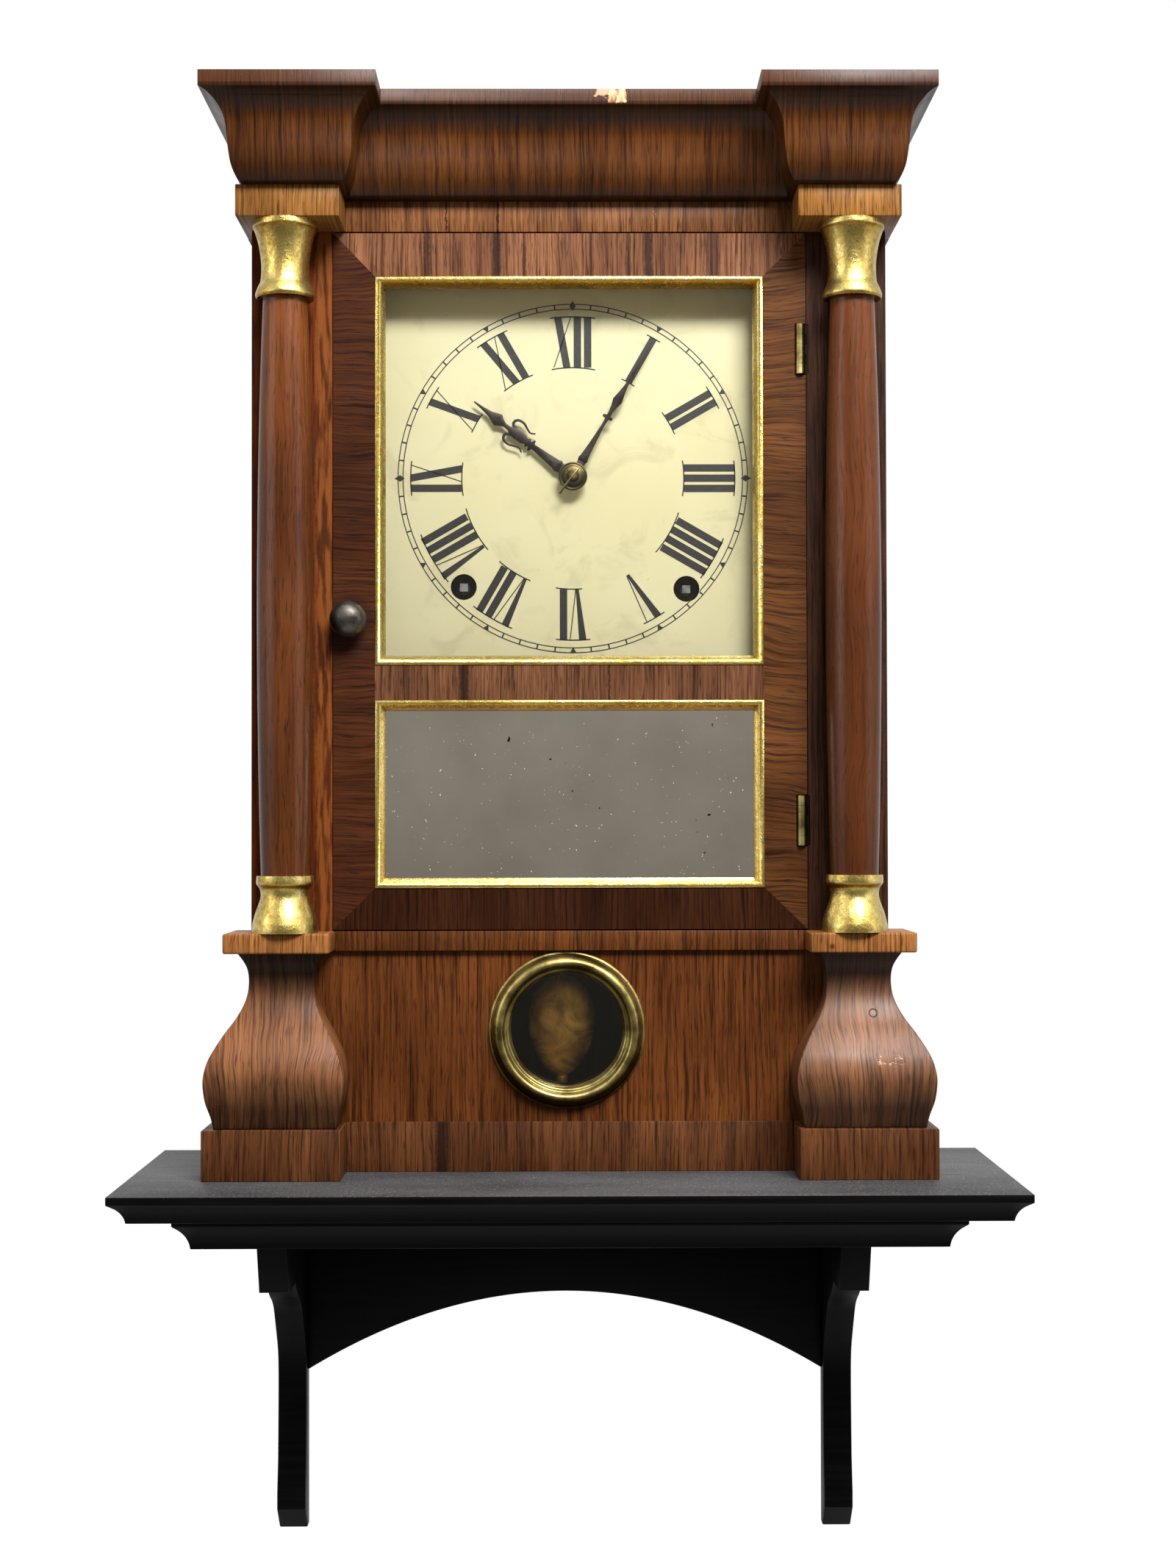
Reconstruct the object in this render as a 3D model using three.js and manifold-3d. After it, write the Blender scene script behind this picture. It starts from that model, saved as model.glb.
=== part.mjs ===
// Column wall clock on a bracket shelf, in millimetres, +Z up, front towards -Y.
// Sizes below are taken with the shelf top at height 0 and the door front at depth 0.
// The whole group is then moved so that the origin lies on the wall, behind the shelf's back rail.
import * as THREE from "three";
import { mergeVertices } from "three/addons/utils/BufferGeometryUtils.js";
import Module from "manifold-3d";

const wasm = await Module();
wasm.setup();
const { Manifold, Mesh: SolidMesh } = wasm;

// Where the origin goes
const WALL_Y = 63;
const ORIGIN_Z = -38;
const MERGE_TOLERANCE = 0.0005;

// Fits
const GAP = 0.3;
const RUNNING = 0.08;

// Shelf
const SHELF_HALF_WIDTH = 165;
const SHELF_FRONT_Y = -59.9;
const SHELF_THICK = 10.3;
const SHELF_COVE_INSET = 6;
const SHELF_LOWER_HALF_WIDTH = 145;
const SHELF_LOWER_FRONT_Y = -40;
const SHELF_LOWER_THICK = 12.7;
// Each pair: share of the cove inset, share of the board's thickness from its top
const SHELF_EDGE_SHARES = [
  [0, 0],
  [0, 0.28],
  [0.22, 0.36],
  [0.48, 0.47],
  [0.74, 0.63],
  [0.92, 0.82],
  [1, 1],
];
// The brackets and the rail are fixed a little left of the middle
const BRACKETS_MIDDLE_X = -2.4;
const BRACKET_INNER_X = 103.8;
const BRACKET_OUTER_X = 115.2;
const BRACKET_CAP_FRONT_Y = -14.5;
const BRACKET_CAP_SLOPE = 8.8;
const BRACKET_CAP_BOTTOM_Z = -44.6;
const BRACKET_FRONT_Y = 14;
const BRACKET_WAIST_Y = 53;
const BRACKET_FOOT_Y = 49;
const BRACKET_BOTTOM_Z = -151;
const BRACKET_FOOT_HEIGHT = 15.5;
const BRACKET_CHAMFER_DEPTH = 9;
const BRACKET_CHAMFER_HEIGHT = 9.5;
// Each pair: share of the way from the front to the waist, share of the sweep's height
const BRACKET_SWEEP_SHARES = [
  [0, 0],
  [0.23, 0.07],
  [0.47, 0.12],
  [0.6, 0.16],
  [0.71, 0.22],
  [0.83, 0.29],
  [0.95, 0.37],
  [1, 0.46],
  [1, 0.62],
  [0.97, 0.85],
];
const APRON_FRONT_Y = 57;
const APRON_END_Z = -87.8;
const APRON_CROWN_Z = -56.5;
const APRON_ARC_STEPS = 14;

// Case
const CASE_HALF_WIDTH = 121.3;
const CASE_TOP_Z = 370.65;
const CASE_WALL = 10;
const CASE_BACK_Y = 55;
const FRONT_THICK = 12;
const TOP_BOARD_THICK = 8;
const BOTTOM_BOARD_THICK = 8;
const DIAL_POST_WIDTH = 7;
const DIAL_POST_INSET = 2;
const DIAL_POST_TOP_Z = 345;
const DIAL_POST_BOTTOM_Z = 190;
const SEAT_X = 50;
const SEAT_WIDTH = 9;
const SEAT_TOP_Z = 300;
const SEAT_BOTTOM_Z = 216;

// Cornice
const CORNICE_FILLET_Z = 403.95;
const CORNICE_TOP_Z = 408.3;
const CORNICE_FLARE = 14.4;
const CORNICE_BLOCK_WIDTH = 36.25;
const CORNICE_BLOCK_INNER_X = CASE_HALF_WIDTH - CORNICE_BLOCK_WIDTH;
const CORNICE_BLOCK_FRONT_Y = -26.4;
const CORNICE_MIDDLE_FRONT_Y = -3.7;
const CORNICE_RETURN_THICK = 17.3;
const CORNICE_RETURN_INNER_X = CASE_HALF_WIDTH - CORNICE_RETURN_THICK;
const CORNICE_BACK_Y = 62;
// Each pair: share of the flare, share of the moulding's height up to the fillet
const CORNICE_SHARES = [
  [0, 0],
  [0.1, 0.02],
  [0.2, 0.1],
  [0.27, 0.19],
  [0.31, 0.29],
  [0.34, 0.4],
  [0.365, 0.53],
  [0.4, 0.64],
  [0.46, 0.73],
  [0.56, 0.81],
  [0.7, 0.88],
  [0.85, 0.93],
  [1, 0.955],
  [1, 1],
];

// Frieze with the column caps
const CAP_BOTTOM_Z = 358.85;
const CAP_WIDTH = 38.7;
const CAP_PROUD = 3;
const CAP_OUTER_X = CASE_HALF_WIDTH + CAP_PROUD;
const CAP_INNER_X = CAP_OUTER_X - CAP_WIDTH;
const CAP_FRONT_Y = -24.3;

// Ledge, base and plinth
const LEDGE_TOP_Z = 91.5;
const LEDGE_BOTTOM_Z = 84;
const LEDGE_RAIL_FRONT_Y = -1;
const LEDGE_BLOCK_FRONT_Y = -22;
const LEDGE_BLOCK_WIDTH = 39.7;
const LEDGE_BLOCK_PROUD = 7.9;
const LEDGE_BLOCK_OUTER_X = CASE_HALF_WIDTH + LEDGE_BLOCK_PROUD;
const LEDGE_BLOCK_INNER_X = LEDGE_BLOCK_OUTER_X - LEDGE_BLOCK_WIDTH;
const PLINTH_TOP_Z = 18.9;
const PLINTH_BLOCK_WIDTH = 51.7;
const PLINTH_BLOCK_PROUD = 15.5;
const PLINTH_BLOCK_OUTER_X = CASE_HALF_WIDTH + PLINTH_BLOCK_PROUD;
const PLINTH_BLOCK_INNER_X = PLINTH_BLOCK_OUTER_X - PLINTH_BLOCK_WIDTH;
const PLINTH_BLOCK_FRONT_Y = -24.3;
const BASE_PANEL_FRONT_Y = 1.5;
const PEDESTAL_NECK_WIDTH = 24.2;
const PEDESTAL_NECK_INSET = 0.5;
const PEDESTAL_NECK_OUTER_X = CASE_HALF_WIDTH - PEDESTAL_NECK_INSET;
const PEDESTAL_NECK_INNER_X = PEDESTAL_NECK_OUTER_X - PEDESTAL_NECK_WIDTH;
const PEDESTAL_NECK_FRONT_Y = -11;
const PEDESTAL_OUTER_FLARE = 15.4;
const PEDESTAL_INNER_FLARE = 12.4;
const PEDESTAL_FRONT_FLARE = 13.2;
// Each pair: share of the flare, share of the height from the plinth to the ledge
const PEDESTAL_SHARES = [
  [0.77, 0],
  [0.83, 0.07],
  [0.95, 0.16],
  [1, 0.26],
  [0.97, 0.33],
  [0.88, 0.4],
  [0.72, 0.47],
  [0.52, 0.545],
  [0.32, 0.61],
  [0.15, 0.68],
  [0.04, 0.75],
  [0, 0.83],
  [0.03, 0.9],
  [0.12, 0.95],
  [0.26, 1],
];

// Columns
const COLUMN_INSET = 14.3;
const COLUMN_X = CASE_HALF_WIDTH - COLUMN_INSET;
const COLUMN_Y = -12.7;
const CAPITAL_BOTTOM_Z = 330;
const COLUMN_BASE_TOP_Z = 112.9;
const SHAFT_MID_RADIUS = 10.5;
const CAPITAL_TOP_RADIUS = 12.2;
const COLUMN_BASE_RADIUS = 12.35;
const ROUND_STEPS = 20;
// Each pair: share of the largest radius, share of the piece's height
const SHAFT_SHARES = [
  [0.855, 0],
  [0.92, 0.12],
  [0.97, 0.27],
  [1, 0.45],
  [0.985, 0.6],
  [0.93, 0.78],
  [0.85, 0.92],
  [0.79, 1],
];
const CAPITAL_SHARES = [
  [0.88, 0],
  [0.92, 0.05],
  [0.85, 0.14],
  [0.76, 0.23],
  [0.735, 0.4],
  [0.76, 0.56],
  [0.83, 0.73],
  [0.94, 0.88],
  [1, 0.93],
  [1, 1],
];
const COLUMN_BASE_SHARES = [
  [1, 0],
  [1, 0.06],
  [0.98, 0.16],
  [0.91, 0.32],
  [0.81, 0.48],
  [0.745, 0.6],
  [0.735, 0.69],
  [0.77, 0.78],
  [0.85, 0.84],
  [0.87, 0.9],
  [0.86, 1],
];

// Door
const CASE_STILE_WIDTH = 31.1;
const HINGE_STILE_WIDTH = 30.7;
const DOOR_LEFT_X = CASE_STILE_WIDTH - CASE_HALF_WIDTH;
const DOOR_RIGHT_X = CASE_HALF_WIDTH - HINGE_STILE_WIDTH;
const DOOR_BOTTOM_Z = 92;
const DOOR_TOP_Z = 358.3;
const DOOR_THICK = 13;
const DOOR_STILE_WIDTH = 15.9;
const PANE_HALF_WIDTH = -DOOR_LEFT_X - DOOR_STILE_WIDTH;
const UPPER_PANE_TOP_Z = 341.8;
const UPPER_PANE_BOTTOM_Z = 192.8;
const LOWER_PANE_TOP_Z = 179.4;
const LOWER_PANE_BOTTOM_Z = 107.7;
const BEAD_WIDTH = 3.85;
const BEAD_PROUD = 0.6;
const BEAD_BACK_Y = 4.6;
const BEAD_INNER_FRONT_SHARE = 0.86;
const BEAD_CROWN_SHARE = 0.3;
const GLASS_THICK = 2;
const MIRROR_THICK = 3;
const KNOB_INSET = 6.1;
const KNOB_X = DOOR_LEFT_X + KNOB_INSET;
const KNOB_Z = 209.9;
const KNOB_RADIUS = 7;
const KNOB_FRONT_Y = -13;
const KNOB_SPINDLE_RADIUS = 1.8;
const LATCH_FRONT_Y = 13.3;
const LATCH_THICK = 1.2;
const LATCH_LENGTH = 15;
const LATCH_WIDTH = 6;
const LATCH_HUB_RADIUS = 4;
const SPINDLE_END_Y = 15.6;

// Hinges
const HINGE_INSET = 2.1;
const HINGE_X = DOOR_RIGHT_X - HINGE_INSET;
const HINGE_Y = -0.4;
const HINGE_RADIUS = 1.7;
const HINGE_PIN_RADIUS = 0.7;
const HINGE_LENGTH = 19;
const HINGE_UPPER_Z = 313.7;
const HINGE_LOWER_Z = 133.3;
const HINGE_KNUCKLE_COUNT = 5;
const HINGE_LEAF_THICK = 0.8;
const HINGE_LEAF_BACK_Y = 11;
const HINGE_STRIP_Y = 0.3;
const HINGE_NOTCH_BACK_Y = 1.9;
const HINGE_STEPS = 10;

// Round window in the base
const WINDOW_X = -1.3;
const WINDOW_Z = 53.7;
const WINDOW_OUTER_RADIUS = 29.8;
const WINDOW_OPENING_RADIUS = 21.5;
const WINDOW_HOLE_RADIUS = 24.5;
const WINDOW_GLASS_THICK = 1.8;
const WINDOW_GLASS_BACK_Y = 7.5;
const BEZEL_PROUD = 5.6;
const BEZEL_STEPS = 26;

// Dial and hands
const DIAL_X = 1.4;
const DIAL_Z = 266.9;
const DIAL_FRONT_Y = 18;
const DIAL_THICK = 0.8;
const DIAL_HALF_WIDTH = 82;
const DIAL_TOP_Z = 346;
const DIAL_BOTTOM_Z = 188;
const DIAL_CENTRE_HOLE_RADIUS = 2.8;
const KEY_HOLE_RADIUS = 5.1;
const HAND_THICK = 0.6;
const HOUR_HAND_Y = 15;
const MINUTE_HAND_Y = 12.8;
const COLLET_FRONT_Y = 10.4;
const COLLET_RADIUS = 5.6;
const HOUR_HAND_LENGTH = 48.5;
const MINUTE_HAND_LENGTH = 62;
const HOUR_HAND_DEGREES = 307.6;
const MINUTE_HAND_DEGREES = 30.5;
const HAND_HUB_RADIUS = 4.6;
// Half outlines: share of the hand's length, half width in shares of the length
const HOUR_HAND_SHARES = [
  [0.04, 0.05],
  [0.3, 0.043],
  [0.43, 0.028],
  [0.45, 0.05],
  [0.47, 0.05],
  [0.49, 0.028],
  [0.52, 0.03],
  [0.545, 0.1],
  [0.6, 0.155],
  [0.66, 0.16],
  [0.68, 0.125],
  [0.63, 0.105],
  [0.6, 0.05],
  [0.72, 0.03],
  [0.84, 0.058],
  [0.92, 0.024],
  [1, 0],
];
const MINUTE_HAND_SHARES = [
  [0.04, 0.034],
  [0.2, 0.026],
  [0.4, 0.014],
  [0.42, 0.04],
  [0.44, 0.04],
  [0.46, 0.014],
  [0.5, 0.03],
  [0.57, 0.05],
  [0.63, 0.02],
  [0.7, 0.014],
  [1, 0.004],
];

// Movement plates
const PLATE_THICK = 1.2;
const FRONT_PLATE_Y = 27;
const BACK_PLATE_Y = 50;
const PLATE_HALF_WIDTH = 60;
const PLATE_TOP = 43;
const PLATE_BOTTOM = -57;
const PILLAR_RADIUS = 2.4;
const PILLAR_TENON_RADIUS = 1.6;
const PILLAR_TENON_PROUD = 1.2;
const PILLAR_INSET = 5;
const PILLARS = [
  [PILLAR_INSET - PLATE_HALF_WIDTH, PLATE_TOP - PILLAR_INSET],
  [PLATE_HALF_WIDTH - PILLAR_INSET, PLATE_TOP - PILLAR_INSET],
  [0, PLATE_BOTTOM + PILLAR_INSET],
];
const PIVOT_RADIUS = 0.7;
const ARBOR_RADIUS = 1;
const ARBOR_STEPS = 10;

// Wheel train: teeth, size of tooth, places measured from the dial centre
const GREAT_TOOTH_COUNT = 36;
const GREAT_TOOTH_SIZE = 1.3333;
const GREAT_LEAF_COUNT = 6;
const SECOND_TOOTH_COUNT = 36;
const SECOND_TOOTH_SIZE = 1.3333;
const CENTRE_LEAF_COUNT = 18;
const CENTRE_TOOTH_COUNT = 50;
const CENTRE_TOOTH_SIZE = 0.84;
const THIRD_TOOTH_COUNT = 50;
const THIRD_TOOTH_SIZE = 0.72;
const TRAIN_LEAF_COUNT = 5;
const ESCAPE_TOOTH_COUNT = 36;
const ESCAPE_RADIUS = 11;
const ESCAPE_DEPTH = 2.4;
const CANNON_TOOTH_COUNT = 10;
const MINUTE_WHEEL_TOOTH_COUNT = 30;
const CANNON_TOOTH_SIZE = 0.72;
const MINUTE_LEAF_COUNT = 8;
const HOUR_TOOTH_COUNT = 32;
const PIN_WHEEL_TOOTH_COUNT = 45;
const PIN_WHEEL_TOOTH_SIZE = 0.84;
const TIME_KEY_PLACE = [44.2, -43.2];
const STRIKE_KEY_PLACE = [-42.6, -42.4];
const SECOND_BEND_DEGREES = 11;
const VERGE_PLACE = [-4.8, 35.8];
const ESCAPE_BELOW_VERGE = 16.6;
const ESCAPE_LEAN_DEGREES = 35;
const PIN_WHEEL_DEGREES = 80;
const FLY_DEGREES = 75;
const HAMMER_PLACE = [-14, -51];

// Depths of the wheels
const WHEEL_THICK = 1;
const HOUR_WHEEL_Y = 29.4;
const MINUTE_WHEEL_Y = 31.6;
const ESCAPE_WHEEL_Y = 31.9;
const GREAT_WHEEL_Y = 35;
const NOTCHED_WHEEL_Y = 32.8;
const THIRD_WHEEL_Y = 40;
const CENTRE_WHEEL_Y = 45.2;
const SECOND_WHEEL_Y = 47.8;
const PINION_OVERLAP = 0.8;
const COLLAR_THICK = 0.7;
const SPRING_FRONT_Y = 37.8;
const SPRING_BACK_Y = 44.6;
const SPRING_INNER_RADIUS = 2.75;
const SPRING_OUTER_RADIUS = 18.5;
const SPRING_STRIP = 0.8;
const SPRING_TURN_COUNT = 4;
const SPRING_STEPS = 14;
const KEY_ARBOR_RADIUS = 2.2;
const KEY_SQUARE = 3.1;
const KEY_SQUARE_FRONT_Y = 20;
const KEY_SQUARE_BACK_Y = 26.4;
const HOUR_PIPE_RADIUS = 2.1;
const HOUR_PIPE_BORE = 1.28;
const CENTRE_ARBOR_RADIUS = 1.2;
const CENTRE_ARBOR_FRONT_Y = 9.8;
const HOUR_PIPE_FRONT_Y = 14.6;

// Tooth shapes: shares of the tooth size and of the tooth pitch
const ADDENDUM_SHARE = 0.8;
const DEDENDUM_SHARE = 1.05;
const LEAF_ROOT_SHARE = 0.36;
const TRUNDLE_SHARE = 0.28;
const TRUNDLE_STEPS = 5;
const CROSSING_COUNT = 4;
const CROSSING_RIM_SHARE = 0.8;
const CROSSING_HUB_SHARE = 0.3;
const CROSSING_GAP_SHARE = 0.8;
const CROSSING_STEPS = 3;

// Verge, pendulum, strike work
const VERGE_SPAN_DEGREES = 40;
const VERGE_CLEAR = 0.8;
const VERGE_STRIP = 1.1;
const VERGE_ARBOR_FRONT_Y = 24.8;
const CRUTCH_LENGTH = 26;
const CRUTCH_RADIUS = 0.6;
const FORK_FRONT_Y = 21.4;
const FORK_HALF_GAP = 0.9;
const ROD_Y = 23;
const ROD_RADIUS = 0.6;
const ROD_EYE_RADIUS = 1.7;
const ROD_EYE_BORE = 0.8;
const HANGER_PIN_RADIUS = 0.7;
const HANGER_FRONT_Y = 20.4;
const HANGER_DROP_BACK_Y = 21.4;
const HANGER_PIN_BACK_Y = 24.2;
const HANGER_BOTTOM = 3.9;
const HANGER_HEIGHT = 2.4;
const HANGER_HALF_WIDTH = 1.6;
const BOB_Z = 53.7;
const BOB_HALF_WIDTH = 13.2;
const BOB_HALF_HEIGHT = 19.8;
const BOB_HALF_THICK = 4.4;
const BOB_TAPER_SHARE = 0.14;
const BOB_STEPS = 16;
const BOB_NUT_RADIUS = 2.2;
const BOB_NUT_HEIGHT = 2.6;
const FLY_BLADE_LENGTH = 20;
const FLY_BLADE_THICK = 0.5;
const FLY_FRONT_Y = 31;
const FLY_BACK_Y = 43;
const LIFT_PIN_COUNT = 8;
const LIFT_PIN_RADIUS = 0.6;
const LIFT_PIN_REACH = 14;
const LIFT_PIN_FRONT_Y = 45.4;
const NOTCHED_WHEEL_RADIUS = 17;
const NOTCH_DEPTH = 1.6;
const NOTCH_COUNT = 12;
const GONG_X = 14;
const GONG_Z = 150;
const GONG_Y = 47;
const GONG_RADIUS = 32;
const GONG_WIRE_RADIUS = 1;
const GONG_TURN_COUNT = 3;
const GONG_STEPS = 16;
const GONG_BLOCK_RADIUS = 7;
const HAMMER_HEAD_RADIUS = 4;
const HAMMER_HEAD_LENGTH = 9;
const HAMMER_CLEAR = 0.6;
const HAMMER_WIRE_RADIUS = 0.8;

const TURN = Math.PI * 2;
const radians = THREE.MathUtils.degToRad;

// Turning three.js shapes into solids
function signedVolume(positions) {
  let sum = 0;
  const a = new THREE.Vector3();
  const b = new THREE.Vector3();
  const c = new THREE.Vector3();
  for (let i = 0; i < positions.count; i += 3) {
    a.fromBufferAttribute(positions, i);
    b.fromBufferAttribute(positions, i + 1);
    c.fromBufferAttribute(positions, i + 2);
    sum += a.dot(b.cross(c));
  }
  return sum;
}

function solid(geometry) {
  const flat = geometry.index ? geometry.toNonIndexed() : geometry;
  const bare = new THREE.BufferGeometry();
  bare.setAttribute("position", flat.getAttribute("position"));
  const inside = signedVolume(bare.getAttribute("position")) < 0;
  const merged = mergeVertices(bare, MERGE_TOLERANCE);
  const triangles = [];
  for (let i = 0; i < merged.index.count; i += 3) {
    const [a, b, c] = [merged.index.getX(i), merged.index.getX(i + 1), merged.index.getX(i + 2)];
    if (a !== b && b !== c && c !== a) triangles.push(...(inside ? [a, c, b] : [a, b, c]));
  }
  const mesh = new SolidMesh({
    numProp: 3,
    vertProperties: merged.getAttribute("position").array,
    triVerts: new Uint32Array(triangles),
  });
  return new Manifold(mesh);
}

const join = (...parts) => parts.flat().reduce((a, b) => a.add(b));
const cut = (body, ...tools) => tools.flat().reduce((a, b) => a.subtract(b), body);

function box(x0, x1, y0, y1, z0, z1) {
  const geometry = new THREE.BoxGeometry(x1 - x0, y1 - y0, z1 - z0);
  geometry.translate((x0 + x1) / 2, (y0 + y1) / 2, (z0 + z1) / 2);
  return solid(geometry);
}

function shapeOf(points, holes = []) {
  const shape = new THREE.Shape(points.map(([a, b]) => new THREE.Vector2(a, b)));
  for (const hole of holes) {
    shape.holes.push(new THREE.Path(hole.map(([a, b]) => new THREE.Vector2(a, b))));
  }
  return shape;
}

// An outline in X and Z, run along Y
function slabY(points, y0, y1, holes = []) {
  const geometry = new THREE.ExtrudeGeometry(shapeOf(points, holes), {
    depth: y1 - y0,
    bevelEnabled: false,
  });
  geometry.rotateX(Math.PI / 2);
  geometry.translate(0, y1, 0);
  return solid(geometry);
}

// An outline in Y and Z, run along X
function slabX(points, x0, x1) {
  const geometry = new THREE.ExtrudeGeometry(shapeOf(points), { depth: x1 - x0, bevelEnabled: false });
  const turn = new THREE.Matrix4().makeBasis(
    new THREE.Vector3(0, 1, 0),
    new THREE.Vector3(0, 0, 1),
    new THREE.Vector3(1, 0, 0),
  );
  geometry.applyMatrix4(turn);
  geometry.translate(x0, 0, 0);
  return solid(geometry);
}

function circle(cx, cz, radius, steps, start = 0) {
  return Array.from({ length: steps }, (_, i) => {
    const angle = start + (i * TURN) / steps;
    return [cx + radius * Math.cos(angle), cz + radius * Math.sin(angle)];
  });
}

function discY(cx, cz, radius, y0, y1, steps = ARBOR_STEPS, bore = 0) {
  const holes = bore ? [circle(cx, cz, bore, steps)] : [];
  return slabY(circle(cx, cz, radius, steps), y0, y1, holes);
}

// A turned piece that stands on Z at one place; the profile is radius and height
function turned(profile, x, y, steps = ROUND_STEPS) {
  const bottom = profile[0][1];
  const top = profile[profile.length - 1][1];
  const points = [[0, bottom], ...profile, [0, top]].map(([r, h]) => new THREE.Vector2(r, h));
  const geometry = new THREE.LatheGeometry(points, steps);
  geometry.rotateX(Math.PI / 2);
  geometry.translate(x, y, 0);
  return solid(geometry);
}

// A closed ring or knob turned about Y; the profile is radius and depth
function turnedY(profile, x, z, steps, closed = false) {
  const last = closed ? profile[0] : [0, profile[profile.length - 1][1]];
  const first = closed ? [] : [[0, profile[0][1]]];
  const points = [...first, ...profile, last].map(([r, y]) => new THREE.Vector2(r, y));
  const geometry = new THREE.LatheGeometry(points, steps);
  geometry.translate(x, 0, z);
  return solid(geometry);
}

// Rectangles stacked at rising heights and skinned
function stack(levels) {
  const rings = levels.map(({ z, x0, x1, y0, y1 }) => [
    [x0, y0, z],
    [x1, y0, z],
    [x1, y1, z],
    [x0, y1, z],
  ]);
  const faces = [];
  const quad = (a, b, c, d) => faces.push(...a, ...b, ...c, ...a, ...c, ...d);
  for (let i = 0; i + 1 < rings.length; i += 1) {
    for (let k = 0; k < rings[i].length; k += 1) {
      const next = (k + 1) % rings[i].length;
      quad(rings[i][k], rings[i][next], rings[i + 1][next], rings[i + 1][k]);
    }
  }
  const low = rings[0];
  const high = rings[rings.length - 1];
  quad(low[3], low[2], low[1], low[0]);
  quad(high[0], high[1], high[2], high[3]);
  const geometry = new THREE.BufferGeometry();
  geometry.setAttribute("position", new THREE.Float32BufferAttribute(faces, 3));
  return solid(geometry);
}

// A straight round wire between two points
function wire(from, to, radius, steps = TRUNDLE_STEPS) {
  const a = new THREE.Vector3(...from);
  const b = new THREE.Vector3(...to);
  const geometry = new THREE.CylinderGeometry(radius, radius, a.distanceTo(b), steps);
  const along = b.clone().sub(a).normalize();
  geometry.applyQuaternion(new THREE.Quaternion().setFromUnitVectors(new THREE.Vector3(0, 1, 0), along));
  geometry.translate((a.x + b.x) / 2, (a.y + b.y) / 2, (a.z + b.z) / 2);
  return solid(geometry);
}

const clock = new THREE.Group();
clock.name = "column_wall_clock";

function keep(name, body, color, metalness = 0, roughness = 1 / 2) {
  const mesh = body.getMesh();
  const geometry = new THREE.BufferGeometry();
  geometry.setAttribute("position", new THREE.Float32BufferAttribute(mesh.vertProperties, 3));
  geometry.setIndex(new THREE.Uint32BufferAttribute(mesh.triVerts, 1));
  const flat = geometry.toNonIndexed();
  flat.computeVertexNormals();
  const material = new THREE.MeshStandardMaterial({ color, metalness, roughness });
  const node = new THREE.Mesh(flat, material);
  node.name = name;
  clock.add(node);
  return node;
}

const WALNUT = 0x5c2f1c;
const ORANGE_WOOD = 0x9a5a2a;
const PINE = 0xb48a5a;
const BLACK_PAINT = 0x1c1b1d;
const GILT = 0xc79a3a;
const BRASS = 0xb08d3f;
const STEEL = 0x8a8d90;
const DARK_STEEL = 0x2a2a30;
const CREAM = 0xe6dfc2;
const GLASS = 0xdfe8e6;
const SILVER = 0xc8ccd0;
const IRON = 0x3a3a3c;

// Shelf
function shelfBoard(halfWidth, frontY, topZ, thick) {
  const levels = SHELF_EDGE_SHARES.map(([inset, drop]) => ({
    z: topZ - thick * drop,
    x0: -halfWidth + SHELF_COVE_INSET * inset,
    x1: halfWidth - SHELF_COVE_INSET * inset,
    y0: frontY + SHELF_COVE_INSET * inset,
    y1: WALL_Y,
  }));
  return stack(levels.reverse());
}
const LOWER_TOP_Z = -SHELF_THICK;
const LOWER_BOTTOM_Z = LOWER_TOP_Z - SHELF_LOWER_THICK;
keep("shelf_top_board", shelfBoard(SHELF_HALF_WIDTH, SHELF_FRONT_Y, 0, SHELF_THICK), BLACK_PAINT);
const lowerBoard = shelfBoard(
  SHELF_LOWER_HALF_WIDTH,
  SHELF_LOWER_FRONT_Y,
  LOWER_TOP_Z,
  SHELF_LOWER_THICK,
);
keep("shelf_lower_board", lowerBoard, BLACK_PAINT);

function bracket(side) {
  const sweepTop = BRACKET_CAP_BOTTOM_Z;
  const sweepBottom = BRACKET_BOTTOM_Z + BRACKET_FOOT_HEIGHT;
  const sweep = BRACKET_SWEEP_SHARES.map(([run, drop]) => [
    BRACKET_FRONT_Y + (BRACKET_WAIST_Y - BRACKET_FRONT_Y) * run,
    sweepTop + (sweepBottom - sweepTop) * drop,
  ]);
  const outline = [
    [WALL_Y, LOWER_BOTTOM_Z],
    [BRACKET_CAP_FRONT_Y, LOWER_BOTTOM_Z],
    [BRACKET_CAP_FRONT_Y + BRACKET_CAP_SLOPE, sweepTop],
    ...sweep,
    [BRACKET_FOOT_Y, sweepBottom],
    [BRACKET_FOOT_Y, BRACKET_BOTTOM_Z + BRACKET_CHAMFER_HEIGHT],
    [BRACKET_FOOT_Y + BRACKET_CHAMFER_DEPTH, BRACKET_BOTTOM_Z],
    [WALL_Y, BRACKET_BOTTOM_Z],
  ];
  const inner = BRACKETS_MIDDLE_X + BRACKET_INNER_X * side;
  const outer = BRACKETS_MIDDLE_X + BRACKET_OUTER_X * side;
  return slabX(outline, Math.min(inner, outer), Math.max(inner, outer));
}
keep("shelf_bracket_left", bracket(-1), BLACK_PAINT);
keep("shelf_bracket_right", bracket(1), BLACK_PAINT);

const APRON_LEFT_X = BRACKETS_MIDDLE_X - BRACKET_INNER_X;
const APRON_RIGHT_X = BRACKETS_MIDDLE_X + BRACKET_INNER_X;
const arch = Array.from({ length: APRON_ARC_STEPS + 1 }, (_, i) => {
  const share = 1 - (2 * i) / APRON_ARC_STEPS;
  const x = BRACKETS_MIDDLE_X + BRACKET_INNER_X * share;
  return [x, APRON_CROWN_Z + (APRON_END_Z - APRON_CROWN_Z) * share ** 2];
});
const apronOutline = [[APRON_LEFT_X, LOWER_BOTTOM_Z], [APRON_RIGHT_X, LOWER_BOTTOM_Z], ...arch];
keep("shelf_apron", slabY(apronOutline, APRON_FRONT_Y, WALL_Y), BLACK_PAINT);

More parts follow.
